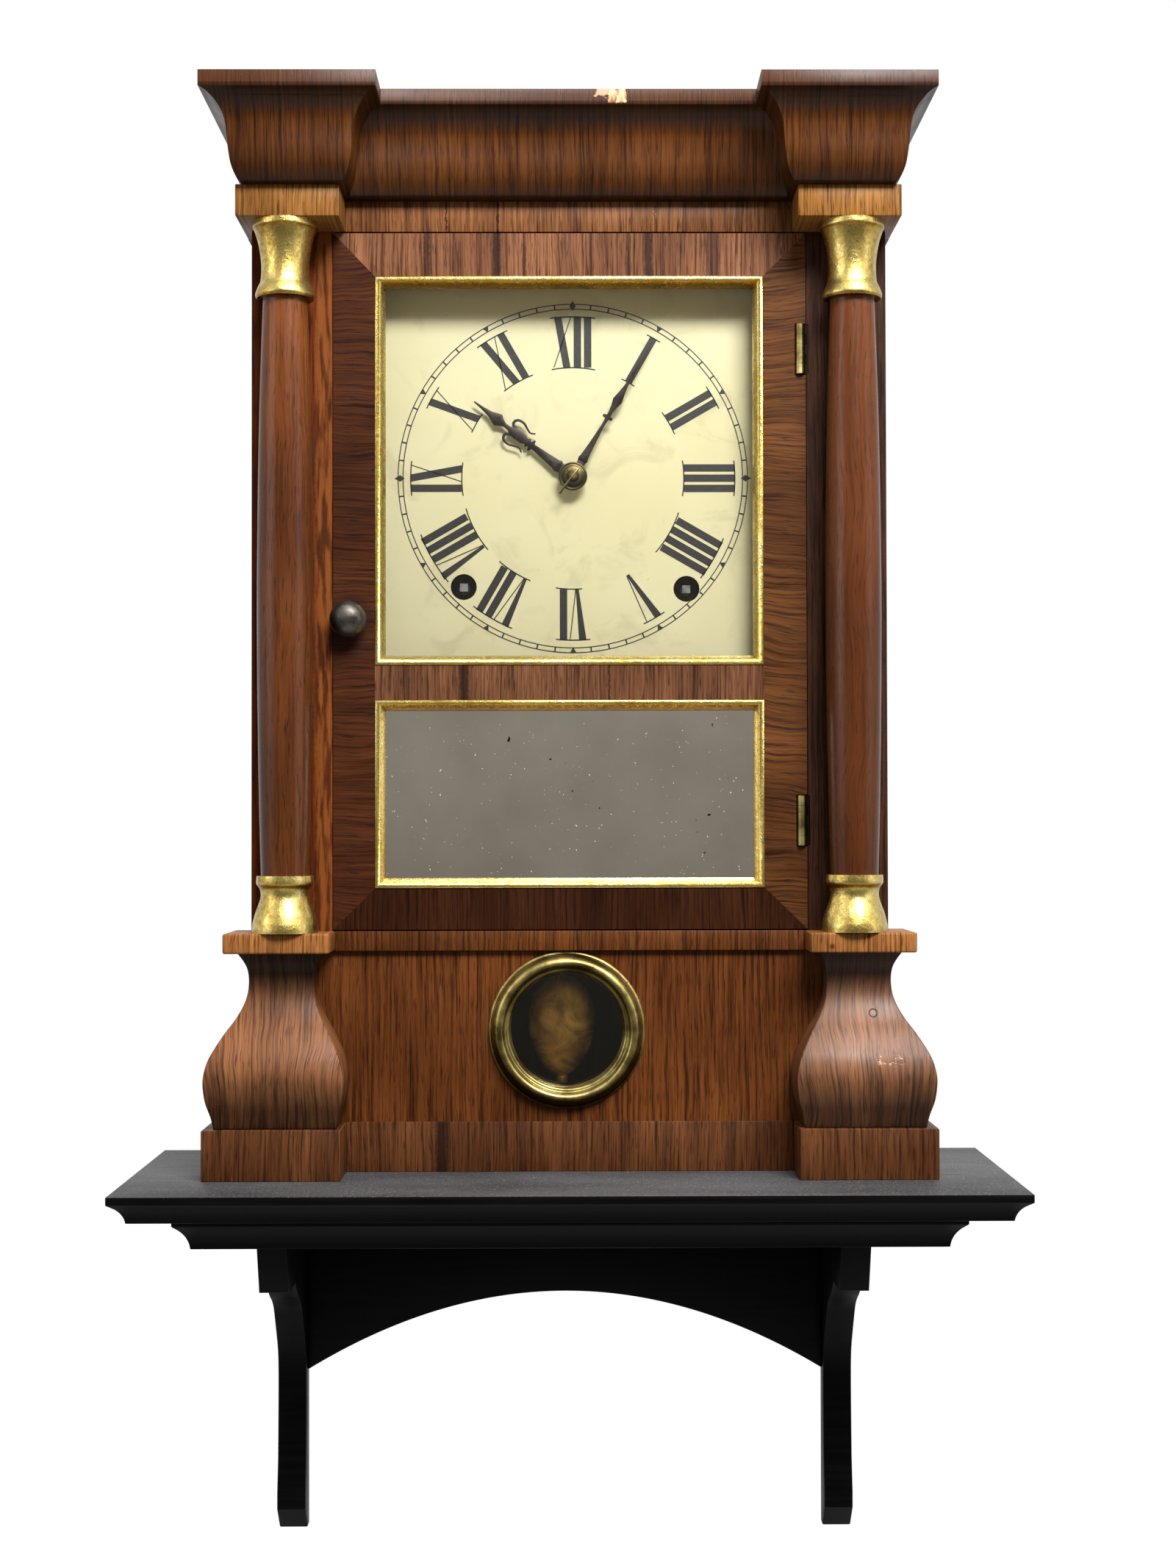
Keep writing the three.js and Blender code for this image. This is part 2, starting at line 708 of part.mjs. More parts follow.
// Case
const INNER_X = CASE_HALF_WIDTH - CASE_WALL;
const caseSides = [-1, 1].map((side) => {
  const x = [CASE_HALF_WIDTH * side, INNER_X * side].sort((a, b) => a - b);
  return box(x[0], x[1], FRONT_THICK, CASE_BACK_Y, 0, CASE_TOP_Z);
});
const topLow = CASE_TOP_Z - TOP_BOARD_THICK;
const caseTop = box(-INNER_X, INNER_X, FRONT_THICK, CASE_BACK_Y, topLow, CASE_TOP_Z);
const bottomLow = PLINTH_TOP_Z - BOTTOM_BOARD_THICK;
const caseBottom = box(-INNER_X, INNER_X, FRONT_THICK, CASE_BACK_Y, bottomLow, PLINTH_TOP_Z);
keep("case_carcass", join(caseSides, caseTop, caseBottom), PINE);

const DIAL_BACK_Y = DIAL_FRONT_Y + DIAL_THICK;
const posts = [-1, 1].map((side) => {
  const x = DIAL_X + (DIAL_HALF_WIDTH - DIAL_POST_INSET) * side - DIAL_POST_WIDTH / 2;
  return box(x, x + DIAL_POST_WIDTH, DIAL_BACK_Y, CASE_BACK_Y, DIAL_POST_BOTTOM_Z, DIAL_POST_TOP_Z);
});
const seats = [-1, 1].map((side) => {
  const x = DIAL_X + SEAT_X * side - SEAT_WIDTH / 2;
  return box(x, x + SEAT_WIDTH, BACK_PLATE_Y + PLATE_THICK, CASE_BACK_Y, SEAT_BOTTOM_Z, SEAT_TOP_Z);
});
const backBoard = box(-CASE_HALF_WIDTH, CASE_HALF_WIDTH, CASE_BACK_Y, WALL_Y, 0, CASE_TOP_Z);
keep("backboard", join(backBoard, posts, seats), PINE);

// Cornice
const CORNICE_HEIGHT = CORNICE_FILLET_Z - CASE_TOP_Z;
const corniceLevels = CORNICE_SHARES.map(([run, rise]) => [
  run * CORNICE_FLARE,
  CASE_TOP_Z + rise * CORNICE_HEIGHT,
]);
corniceLevels.push([CORNICE_FLARE, CORNICE_TOP_Z]);
function corniceBlock(side) {
  const levels = corniceLevels.map(([flare, z]) => {
    const outer = CASE_HALF_WIDTH + flare;
    const inner = CORNICE_BLOCK_INNER_X - flare;
    return {
      z,
      x0: side > 0 ? inner : -outer,
      x1: side > 0 ? outer : -inner,
      y0: CORNICE_BLOCK_FRONT_Y - flare,
      y1: CORNICE_BACK_Y,
    };
  });
  return stack(levels);
}
const cornicePlan = corniceLevels.map(([flare, z]) => [CORNICE_MIDDLE_FRONT_Y - flare, z]);
const corniceMiddle = slabX(
  [[FRONT_THICK, CORNICE_TOP_Z], ...cornicePlan.reverse(), [FRONT_THICK, CASE_TOP_Z]],
  -CORNICE_BLOCK_INNER_X,
  CORNICE_BLOCK_INNER_X,
);
const corniceWell = box(
  -CORNICE_RETURN_INNER_X,
  CORNICE_RETURN_INNER_X,
  FRONT_THICK,
  WALL_Y,
  CASE_TOP_Z - GAP,
  CORNICE_TOP_Z + GAP,
);
const cornice = cut(join(corniceBlock(-1), corniceBlock(1), corniceMiddle), corniceWell);
keep("cornice", cornice, WALNUT);

// Frieze, stiles, ledge, base and plinth
const capBlocks = [-1, 1].map((side) => {
  const x = [CAP_INNER_X * side, CAP_OUTER_X * side].sort((a, b) => a - b);
  return box(x[0], x[1], CAP_FRONT_Y, FRONT_THICK, CAP_BOTTOM_Z, CASE_TOP_Z);
});
const capStrips = [-1, 1].map((side) => {
  const x = [CASE_HALF_WIDTH * side, CAP_OUTER_X * side].sort((a, b) => a - b);
  return box(x[0], x[1], CAP_FRONT_Y, CASE_BACK_Y, CAP_BOTTOM_Z, CASE_TOP_Z);
});
const friezeRail = box(-CAP_INNER_X, CAP_INNER_X, 0, FRONT_THICK, CAP_BOTTOM_Z, CASE_TOP_Z);
keep("frieze", join(friezeRail, capBlocks, capStrips), ORANGE_WOOD);

const hingeHeights = [HINGE_UPPER_Z, HINGE_LOWER_Z];
const STILE_INNER_RIGHT_X = DOOR_RIGHT_X + GAP;
const STILE_INNER_LEFT_X = DOOR_LEFT_X - GAP;
const LEAF_HALF = HINGE_LENGTH / 2;
const stileMortises = hingeHeights.map((z) =>
  box(
    STILE_INNER_RIGHT_X - GAP,
    STILE_INNER_RIGHT_X + HINGE_LEAF_THICK,
    HINGE_STRIP_Y - GAP * 2,
    HINGE_LEAF_BACK_Y,
    z - LEAF_HALF,
    z + LEAF_HALF,
  ),
);
const stileLeft = box(-CASE_HALF_WIDTH, STILE_INNER_LEFT_X, 0, FRONT_THICK, LEDGE_TOP_Z, CAP_BOTTOM_Z);
const stileRight = box(STILE_INNER_RIGHT_X, CASE_HALF_WIDTH, 0, FRONT_THICK, LEDGE_TOP_Z, CAP_BOTTOM_Z);
keep("stile_left", stileLeft, WALNUT);
keep("stile_right", cut(stileRight, stileMortises), WALNUT);

const ledgeBlocks = [-1, 1].map((side) => {
  const x = [LEDGE_BLOCK_INNER_X * side, LEDGE_BLOCK_OUTER_X * side].sort((a, b) => a - b);
  return box(x[0], x[1], LEDGE_BLOCK_FRONT_Y, FRONT_THICK, LEDGE_BOTTOM_Z, LEDGE_TOP_Z);
});
const ledgeRail = box(
  -CASE_HALF_WIDTH,
  CASE_HALF_WIDTH,
  LEDGE_RAIL_FRONT_Y,
  FRONT_THICK,
  LEDGE_BOTTOM_Z,
  LEDGE_TOP_Z,
);
keep("ledge_board", join(ledgeRail, ledgeBlocks), ORANGE_WOOD);

const windowHole = circle(WINDOW_X, WINDOW_Z, WINDOW_HOLE_RADIUS, BEZEL_STEPS);
const panelOutline = [
  [-CASE_HALF_WIDTH, PLINTH_TOP_Z],
  [CASE_HALF_WIDTH, PLINTH_TOP_Z],
  [CASE_HALF_WIDTH, LEDGE_BOTTOM_Z],
  [-CASE_HALF_WIDTH, LEDGE_BOTTOM_Z],
];
keep("base_panel", slabY(panelOutline, BASE_PANEL_FRONT_Y, FRONT_THICK, [windowHole]), WALNUT);

const PEDESTAL_HEIGHT = LEDGE_BOTTOM_Z - PLINTH_TOP_Z;
function pedestal(side) {
  const levels = PEDESTAL_SHARES.map(([flare, rise]) => {
    const outer = PEDESTAL_NECK_OUTER_X + PEDESTAL_OUTER_FLARE * flare;
    const inner = PEDESTAL_NECK_INNER_X - PEDESTAL_INNER_FLARE * flare;
    return {
      z: PLINTH_TOP_Z + PEDESTAL_HEIGHT * rise,
      x0: side > 0 ? inner : -outer,
      x1: side > 0 ? outer : -inner,
      y0: PEDESTAL_NECK_FRONT_Y - PEDESTAL_FRONT_FLARE * flare,
      y1: BASE_PANEL_FRONT_Y,
    };
  });
  return stack(levels);
}
keep("scroll_pedestal_left", pedestal(-1), WALNUT);
keep("scroll_pedestal_right", pedestal(1), WALNUT);

const plinthBlocks = [-1, 1].map((side) => {
  const x = [PLINTH_BLOCK_INNER_X * side, PLINTH_BLOCK_OUTER_X * side].sort((a, b) => a - b);
  return box(x[0], x[1], PLINTH_BLOCK_FRONT_Y, FRONT_THICK, 0, PLINTH_TOP_Z);
});
const plinthRail = box(-PLINTH_BLOCK_INNER_X, PLINTH_BLOCK_INNER_X, 0, FRONT_THICK, 0, PLINTH_TOP_Z);
keep("plinth", join(plinthRail, plinthBlocks), WALNUT);

// Columns
const lift = (shares, radius, low, high) => shares.map(([r, h]) => [r * radius, low + (high - low) * h]);
for (const [name, side] of [["left", -1], ["right", 1]]) {
  const x = COLUMN_X * side;
  const shaft = lift(SHAFT_SHARES, SHAFT_MID_RADIUS, COLUMN_BASE_TOP_Z, CAPITAL_BOTTOM_Z);
  const capital = lift(CAPITAL_SHARES, CAPITAL_TOP_RADIUS, CAPITAL_BOTTOM_Z, CAP_BOTTOM_Z);
  const base = lift(COLUMN_BASE_SHARES, COLUMN_BASE_RADIUS, LEDGE_TOP_Z, COLUMN_BASE_TOP_Z);
  keep("column_shaft_" + name, turned(shaft, x, COLUMN_Y), WALNUT);
  keep("capital_" + name, turned(capital, x, COLUMN_Y), GILT, 1);
  keep("column_base_" + name, turned(base, x, COLUMN_Y), GILT, 1);
}

// Door
const pane = (low, high, inset = 0) => [
  [-PANE_HALF_WIDTH + inset, low + inset],
  [PANE_HALF_WIDTH - inset, low + inset],
  [PANE_HALF_WIDTH - inset, high - inset],
  [-PANE_HALF_WIDTH + inset, high - inset],
];
const doorOutline = [
  [DOOR_LEFT_X, DOOR_BOTTOM_Z],
  [DOOR_RIGHT_X, DOOR_BOTTOM_Z],
  [DOOR_RIGHT_X, DOOR_TOP_Z],
  [DOOR_LEFT_X, DOOR_TOP_Z],
];
const doorHoles = [
  pane(UPPER_PANE_BOTTOM_Z, UPPER_PANE_TOP_Z),
  pane(LOWER_PANE_BOTTOM_Z, LOWER_PANE_TOP_Z),
  circle(KNOB_X, KNOB_Z, KNOB_SPINDLE_RADIUS + RUNNING, ROUND_STEPS),
];
const doorNotches = hingeHeights.flatMap((z) => [
  box(
    HINGE_X - HINGE_RADIUS - GAP,
    DOOR_RIGHT_X + GAP,
    -GAP,
    HINGE_NOTCH_BACK_Y,
    z - LEAF_HALF - GAP,
    z + LEAF_HALF + GAP,
  ),
  box(
    DOOR_RIGHT_X - HINGE_LEAF_THICK,
    DOOR_RIGHT_X + GAP,
    -GAP,
    HINGE_LEAF_BACK_Y,
    z - LEAF_HALF,
    z + LEAF_HALF,
  ),
]);
keep("door_frame", cut(slabY(doorOutline, 0, DOOR_THICK, doorHoles), doorNotches), WALNUT);

// A bead runs round a pane: four mitred strips with a rounded, sloping face
function bead(low, high) {
  const bars = [
    [0, -BEAD_PROUD],
    [BEAD_WIDTH * BEAD_CROWN_SHARE, -BEAD_PROUD],
    [BEAD_WIDTH, BEAD_BACK_Y * BEAD_INNER_FRONT_SHARE],
    [BEAD_WIDTH, BEAD_BACK_Y],
    [0, BEAD_BACK_Y],
  ];
  const rings = bars.map(([inset, y]) => pane(low, high, inset).map(([x, z]) => [x, y, z]));
  const faces = [];
  rings.forEach((ring, i) => {
    const next = rings[(i + 1) % rings.length];
    ring.forEach((corner, k) => {
      const along = (k + 1) % ring.length;
      faces.push(...corner, ...next[k], ...next[along], ...corner, ...next[along], ...ring[along]);
    });
  });
  const geometry = new THREE.BufferGeometry();
  geometry.setAttribute("position", new THREE.Float32BufferAttribute(faces, 3));
  return solid(geometry);
}
keep("upper_bead", bead(UPPER_PANE_BOTTOM_Z, UPPER_PANE_TOP_Z), GILT, 1);
keep("lower_bead", bead(LOWER_PANE_BOTTOM_Z, LOWER_PANE_TOP_Z), GILT, 1);
const upperPane = pane(UPPER_PANE_BOTTOM_Z, UPPER_PANE_TOP_Z);
const lowerPane = pane(LOWER_PANE_BOTTOM_Z, LOWER_PANE_TOP_Z);
keep("door_glass", slabY(upperPane, BEAD_BACK_Y, BEAD_BACK_Y + GLASS_THICK), GLASS, 0, 0);
keep("mirror", slabY(lowerPane, BEAD_BACK_Y, BEAD_BACK_Y + MIRROR_THICK), SILVER, 1, 0);

const KNOB_SHARES = [
  [0.42, 0.06],
  [0.72, 0.16],
  [0.92, 0.32],
  [1, 0.52],
  [0.97, 0.68],
  [0.8, 0.82],
  [0.45, 0.9],
  [0.36, 1],
];
const knobProfile = KNOB_SHARES.map(([r, run]) => [KNOB_RADIUS * r, KNOB_FRONT_Y * (1 - run)]);
const knobFront = turnedY([[0, KNOB_FRONT_Y], ...knobProfile].slice(1), KNOB_X, KNOB_Z, ROUND_STEPS);
const spindle = discY(KNOB_X, KNOB_Z, KNOB_SPINDLE_RADIUS, KNOB_FRONT_Y / 2, SPINDLE_END_Y);
keep("door_knob", join(knobFront, spindle), DARK_STEEL, 1);
const tongue = box(
  KNOB_X - LATCH_WIDTH / 2,
  KNOB_X + LATCH_WIDTH / 2,
  LATCH_FRONT_Y,
  LATCH_FRONT_Y + LATCH_THICK,
  KNOB_Z - LATCH_LENGTH,
  KNOB_Z,
);
const latchHub = discY(KNOB_X, KNOB_Z, LATCH_HUB_RADIUS, LATCH_FRONT_Y, LATCH_FRONT_Y + LATCH_THICK);
const spindleHole = discY(KNOB_X, KNOB_Z, KNOB_SPINDLE_RADIUS, KNOB_FRONT_Y, SPINDLE_END_Y + GAP);
keep("door_latch", cut(join(tongue, latchHub), spindleHole), BRASS, 1);

// Hinges
const KNUCKLE = HINGE_LENGTH / HINGE_KNUCKLE_COUNT;
function barrel(z0, z1, radius, bore = 0) {
  const holes = bore ? [circle(HINGE_X, HINGE_Y, bore, HINGE_STEPS)] : [];
  const shape = shapeOf(circle(HINGE_X, HINGE_Y, radius, HINGE_STEPS), holes);
  const geometry = new THREE.ExtrudeGeometry(shape, { depth: z1 - z0, bevelEnabled: false });
  geometry.translate(0, 0, z0);
  return solid(geometry);
}
function hinge(centre) {
  const low = centre - LEAF_HALF;
  const caseParts = [];
  const doorParts = [];
  for (let i = 0; i < HINGE_KNUCKLE_COUNT; i += 1) {
    const z0 = low + KNUCKLE * i + (i ? RUNNING : 0);
    const z1 = low + KNUCKLE * (i + 1);
    const onCase = i % 2 === 0;
    const reach = onCase ? STILE_INNER_RIGHT_X + HINGE_LEAF_THICK : DOOR_RIGHT_X;
    const strip = box(HINGE_X, reach, HINGE_STRIP_Y, HINGE_STRIP_Y + HINGE_LEAF_THICK, z0, z1);
    if (onCase) {
      caseParts.push(barrel(z0, z1, HINGE_RADIUS), strip);
    } else {
      const ring = barrel(z0, z1, HINGE_RADIUS, HINGE_PIN_RADIUS + RUNNING);
      const clear = barrel(z0 - GAP, z1 + GAP, HINGE_PIN_RADIUS + RUNNING);
      doorParts.push(ring, cut(strip, clear));
    }
  }
  const pin = barrel(low, low + HINGE_LENGTH, HINGE_PIN_RADIUS);
  const caseLeaf = box(
    STILE_INNER_RIGHT_X,
    STILE_INNER_RIGHT_X + HINGE_LEAF_THICK,
    HINGE_STRIP_Y,
    HINGE_LEAF_BACK_Y,
    low,
    low + HINGE_LENGTH,
  );
  const doorLeaf = box(
    DOOR_RIGHT_X - HINGE_LEAF_THICK,
    DOOR_RIGHT_X,
    HINGE_NOTCH_BACK_Y,
    HINGE_LEAF_BACK_Y,
    low,
    low + HINGE_LENGTH,
  );
  const doorRoots = [];
  for (let i = 1; i < HINGE_KNUCKLE_COUNT; i += 2) {
    const z0 = low + KNUCKLE * i + RUNNING;
    const z1 = low + KNUCKLE * (i + 1);
    const x0 = DOOR_RIGHT_X - HINGE_LEAF_THICK;
    doorRoots.push(box(x0, DOOR_RIGHT_X, HINGE_STRIP_Y, HINGE_NOTCH_BACK_Y, z0, z1));
  }
  return [join(caseParts, pin, caseLeaf), join(doorParts, doorLeaf, doorRoots)];
}
const upperHinge = hinge(HINGE_UPPER_Z);
const lowerHinge = hinge(HINGE_LOWER_Z);
keep("hinge_case_leaf_upper", upperHinge[0], BRASS, 1);
keep("hinge_door_leaf_upper", upperHinge[1], BRASS, 1);
keep("hinge_case_leaf_lower", lowerHinge[0], BRASS, 1);
keep("hinge_door_leaf_lower", lowerHinge[1], BRASS, 1);

// Round window
// Each pair: share of the way out from the opening to the rim, share of the height over the panel
const BEZEL_SHARES = [
  [0, 0.1],
  [0.1, 0.42],
  [0.26, 0.5],
  [0.32, 0.86],
  [0.46, 1],
  [0.66, 0.92],
  [0.82, 0.6],
  [0.9, 0.24],
  [1, 0.16],
  [1, 0],
];
const bezelProfile = BEZEL_SHARES.map(([out, rise]) => [
  WINDOW_OPENING_RADIUS + (WINDOW_OUTER_RADIUS - WINDOW_OPENING_RADIUS) * out,
  BASE_PANEL_FRONT_Y - BEZEL_PROUD * rise,
]);
bezelProfile.push([WINDOW_HOLE_RADIUS - GAP, BASE_PANEL_FRONT_Y]);
bezelProfile.push([WINDOW_HOLE_RADIUS - GAP, WINDOW_GLASS_BACK_Y - WINDOW_GLASS_THICK]);
bezelProfile.push([WINDOW_OPENING_RADIUS, WINDOW_GLASS_BACK_Y - WINDOW_GLASS_THICK]);
keep("window_bezel", turnedY(bezelProfile, WINDOW_X, WINDOW_Z, BEZEL_STEPS, true), BRASS, 1);
const windowDisc = discY(
  WINDOW_X,
  WINDOW_Z,
  WINDOW_HOLE_RADIUS,
  WINDOW_GLASS_BACK_Y - WINDOW_GLASS_THICK,
  WINDOW_GLASS_BACK_Y,
  BEZEL_STEPS,
);
keep("window_glass", windowDisc, GLASS, 0, 0);

// Dial and hands
const at = ([x, z]) => [DIAL_X + x, DIAL_Z + z];
const timeKey = at(TIME_KEY_PLACE);
const strikeKey = at(STRIKE_KEY_PLACE);
const dialOutline = [
  [DIAL_X - DIAL_HALF_WIDTH, DIAL_BOTTOM_Z],
  [DIAL_X + DIAL_HALF_WIDTH, DIAL_BOTTOM_Z],
  [DIAL_X + DIAL_HALF_WIDTH, DIAL_TOP_Z],
  [DIAL_X - DIAL_HALF_WIDTH, DIAL_TOP_Z],
];
const dialHoles = [
  circle(DIAL_X, DIAL_Z, DIAL_CENTRE_HOLE_RADIUS, ARBOR_STEPS),
  circle(...timeKey, KEY_HOLE_RADIUS, ROUND_STEPS),
  circle(...strikeKey, KEY_HOLE_RADIUS, ROUND_STEPS),
];
keep("dial", slabY(dialOutline, DIAL_FRONT_Y, DIAL_BACK_Y, dialHoles), CREAM);

function hand(shares, length, degrees, y, boreRadius) {
  const left = shares.map(([run, half]) => [-half * length, run * length]);
  const right = shares.map(([run, half]) => [half * length, run * length]).reverse();
  const outline = [...left, ...right].filter(
    (p, i, all) => i === 0 || Math.hypot(p[0] - all[i - 1][0], p[1] - all[i - 1][1]) > MERGE_TOLERANCE,
  );
  const angle = -radians(degrees);
  const place = ([x, z]) => [
    DIAL_X + x * Math.cos(angle) - z * Math.sin(angle),
    DIAL_Z + x * Math.sin(angle) + z * Math.cos(angle),
  ];
  const blade = slabY(outline.map(place), y, y + HAND_THICK);
  const hub = discY(DIAL_X, DIAL_Z, HAND_HUB_RADIUS, y, y + HAND_THICK, ROUND_STEPS);
  const bore = discY(DIAL_X, DIAL_Z, boreRadius, y - GAP, y + HAND_THICK + GAP);
  return cut(join(blade, hub), bore);
}
const hourHand = hand(HOUR_HAND_SHARES, HOUR_HAND_LENGTH, HOUR_HAND_DEGREES, HOUR_HAND_Y, HOUR_PIPE_RADIUS);
keep("hour_hand", hourHand, DARK_STEEL, 1);
const minuteHand = hand(
  MINUTE_HAND_SHARES,
  MINUTE_HAND_LENGTH,
  MINUTE_HAND_DEGREES,
  MINUTE_HAND_Y,
  CENTRE_ARBOR_RADIUS,
);
keep("minute_hand", minuteHand, DARK_STEEL, 1);
const COLLET_SHARES = [
  [0.6, 0],
  [0.85, 0.25],
  [1, 0.6],
  [1, 1],
];
const colletProfile = COLLET_SHARES.map(([r, run]) => [
  COLLET_RADIUS * r,
  COLLET_FRONT_Y + (MINUTE_HAND_Y - COLLET_FRONT_Y) * run,
]);
const colletBore = discY(DIAL_X, DIAL_Z, CENTRE_ARBOR_RADIUS, COLLET_FRONT_Y - GAP, MINUTE_HAND_Y + GAP);
keep("hand_collet", cut(turnedY(colletProfile, DIAL_X, DIAL_Z, ROUND_STEPS), colletBore), BRASS, 1);

// Wheel shapes
const bearing = (from, to) => Math.atan2(to[1] - from[1], to[0] - from[0]);
const polar = (from, distance, angle) => [
  from[0] + distance * Math.cos(angle),
  from[1] + distance * Math.sin(angle),
];

// Wheels are drawn with the middle of a gap at the angle facing the mating pinion
// With a leaf width the teeth stand apart as narrow leaves; without one they meet at the root
function toothedOutline(centre, teeth, size, gapAngle, leafShare = 0) {
  const pitchRadius = (teeth * size) / 2;
  const tip = pitchRadius + size * ADDENDUM_SHARE;
  const root = pitchRadius - size * DEDENDUM_SHARE;
  const pitch = TURN / teeth;
  const corners = leafShare
    ? [
        [root, (1 - leafShare) / 2],
        [tip, 1 / 2],
        [root, (1 + leafShare) / 2],
      ]
    : [
        [root, 0],
        [tip, 1 / 2],
      ];
  const points = [];
  for (let i = 0; i < teeth; i += 1) {
    for (const [radius, offset] of corners) {
      points.push(polar(centre, radius, gapAngle + pitch * (i + offset)));
    }
  }
  return points;
}

function crossings(centre, outer, hub) {
  const holes = [];
  const span = (TURN / CROSSING_COUNT) * CROSSING_GAP_SHARE;
  for (let i = 0; i < CROSSING_COUNT; i += 1) {
    const start = (TURN * i) / CROSSING_COUNT;
    const hole = [];
    for (let k = 0; k <= CROSSING_STEPS; k += 1) {
      const angle = start + (span * k) / CROSSING_STEPS;
      hole.push([centre[0] + outer * Math.cos(angle), centre[1] + outer * Math.sin(angle)]);
    }
    for (let k = 1; k >= 0; k -= 1) {
      const angle = start + span * k;
      hole.push([centre[0] + hub * Math.cos(angle), centre[1] + hub * Math.sin(angle)]);
    }
    holes.push(hole);
  }
  return holes;
}

function wheel(centre, teeth, size, gapAngle, y, hubRadius = 0) {
  const outline = toothedOutline(centre, teeth, size, gapAngle);
  const pitchRadius = (teeth * size) / 2;
  const hub = Math.max(pitchRadius * CROSSING_HUB_SHARE, hubRadius);
  return slabY(outline, y, y + WHEEL_THICK, crossings(centre, pitchRadius * CROSSING_RIM_SHARE, hub));
}

// A spur pinion with solid leaves, a leaf facing the mating wheel's gap
function spur(centre, teeth, size, leafAngle, y0, y1) {
  const gapAngle = leafAngle - TURN / teeth / 2;
  return slabY(toothedOutline(centre, teeth, size, gapAngle, LEAF_ROOT_SHARE), y0, y1);
}

// A lantern pinion: round trundles between two collars, one trundle in the mating gap
function lantern(centre, leaves, size, pinAngle, wheelY) {
  const pitchRadius = (leaves * size) / 2;
  const pinRadius = size * TRUNDLE_SHARE;
  const y0 = wheelY - PINION_OVERLAP - COLLAR_THICK;
  const y1 = wheelY + WHEEL_THICK + PINION_OVERLAP + COLLAR_THICK;
  const collarRadius = pitchRadius + pinRadius * 2;
  const parts = [
    discY(...centre, collarRadius, y0, y0 + COLLAR_THICK),
    discY(...centre, collarRadius, y1 - COLLAR_THICK, y1),
  ];
  for (let i = 0; i < leaves; i += 1) {
    const angle = pinAngle + (TURN * i) / leaves;
    const x = centre[0] + pitchRadius * Math.cos(angle);
    const z = centre[1] + pitchRadius * Math.sin(angle);
    parts.push(discY(x, z, pinRadius, y0 + COLLAR_THICK / 2, y1 - COLLAR_THICK / 2, TRUNDLE_STEPS));
  }
  return join(parts);
}

const FRONT_PLATE_BACK_Y = FRONT_PLATE_Y + PLATE_THICK;
const BACK_PLATE_BACK_Y = BACK_PLATE_Y + PLATE_THICK;
function arbor(centre, radius, y0 = FRONT_PLATE_BACK_Y + GAP, y1 = BACK_PLATE_Y - GAP) {
  const body = discY(...centre, radius, y0, y1);
  const pivot = discY(...centre, PIVOT_RADIUS, FRONT_PLATE_Y, BACK_PLATE_BACK_Y);
  return join(body, pivot);
}

const reachOf = (a, b, size) => ((a + b) * size) / 2;

// The point at two distances from two places, on the left of the line between them or the right
function meet(a, b, fromA, fromB, side) {
  const span = Math.hypot(b[0] - a[0], b[1] - a[1]);
  const along = (fromA ** 2 - fromB ** 2 + span ** 2) / (2 * span);
  const off = Math.sqrt(fromA ** 2 - along ** 2);
  return polar(polar(a, along, bearing(a, b)), off * side, bearing(a, b) + Math.PI / 2);
}

const dialCentre = [DIAL_X, DIAL_Z];
const verge = at(VERGE_PLACE);
const escape = polar(verge, ESCAPE_BELOW_VERGE, -Math.PI / 2 - radians(ESCAPE_LEAN_DEGREES));
const second = meet(
  timeKey,
  dialCentre,
  reachOf(GREAT_TOOTH_COUNT, GREAT_LEAF_COUNT, GREAT_TOOTH_SIZE),
  reachOf(SECOND_TOOTH_COUNT, CENTRE_LEAF_COUNT, SECOND_TOOTH_SIZE),
  -1,
);
const third = meet(
  dialCentre,
  escape,
  reachOf(CENTRE_TOOTH_COUNT, TRAIN_LEAF_COUNT, CENTRE_TOOTH_SIZE),
  reachOf(THIRD_TOOTH_COUNT, TRAIN_LEAF_COUNT, THIRD_TOOTH_SIZE),
  -1,
);
const minuteReach = reachOf(CANNON_TOOTH_COUNT, MINUTE_WHEEL_TOOTH_COUNT, CANNON_TOOTH_SIZE);
const minuteWheelPlace = [DIAL_X, DIAL_Z - minuteReach];
const pinWheelPlace = polar(
  strikeKey,
  reachOf(GREAT_TOOTH_COUNT, GREAT_LEAF_COUNT, GREAT_TOOTH_SIZE),
  radians(PIN_WHEEL_DEGREES),
);
const flyPlace = polar(
  pinWheelPlace,
  reachOf(PIN_WHEEL_TOOTH_COUNT, TRAIN_LEAF_COUNT, PIN_WHEEL_TOOTH_SIZE),
  radians(FLY_DEGREES),
);
const hammer = at(HAMMER_PLACE);

// Time train
function mainspring(centre) {
  const outer = [];
  const inner = [];
  const steps = SPRING_TURN_COUNT * SPRING_STEPS;
  for (let i = 0; i <= steps; i += 1) {
    const share = i / steps;
    const radius = SPRING_INNER_RADIUS + (SPRING_OUTER_RADIUS - SPRING_INNER_RADIUS) * share;
    const angle = SPRING_TURN_COUNT * TURN * share;
    inner.push(polar(centre, radius - SPRING_STRIP / 2, angle));
    outer.push(polar(centre, radius + SPRING_STRIP / 2, angle));
  }
  return slabY([...outer, ...inner.reverse()], SPRING_FRONT_Y, SPRING_BACK_Y);
}
keep("time_mainspring", mainspring(timeKey), STEEL, 1);
keep("strike_mainspring", mainspring(strikeKey), STEEL, 1);

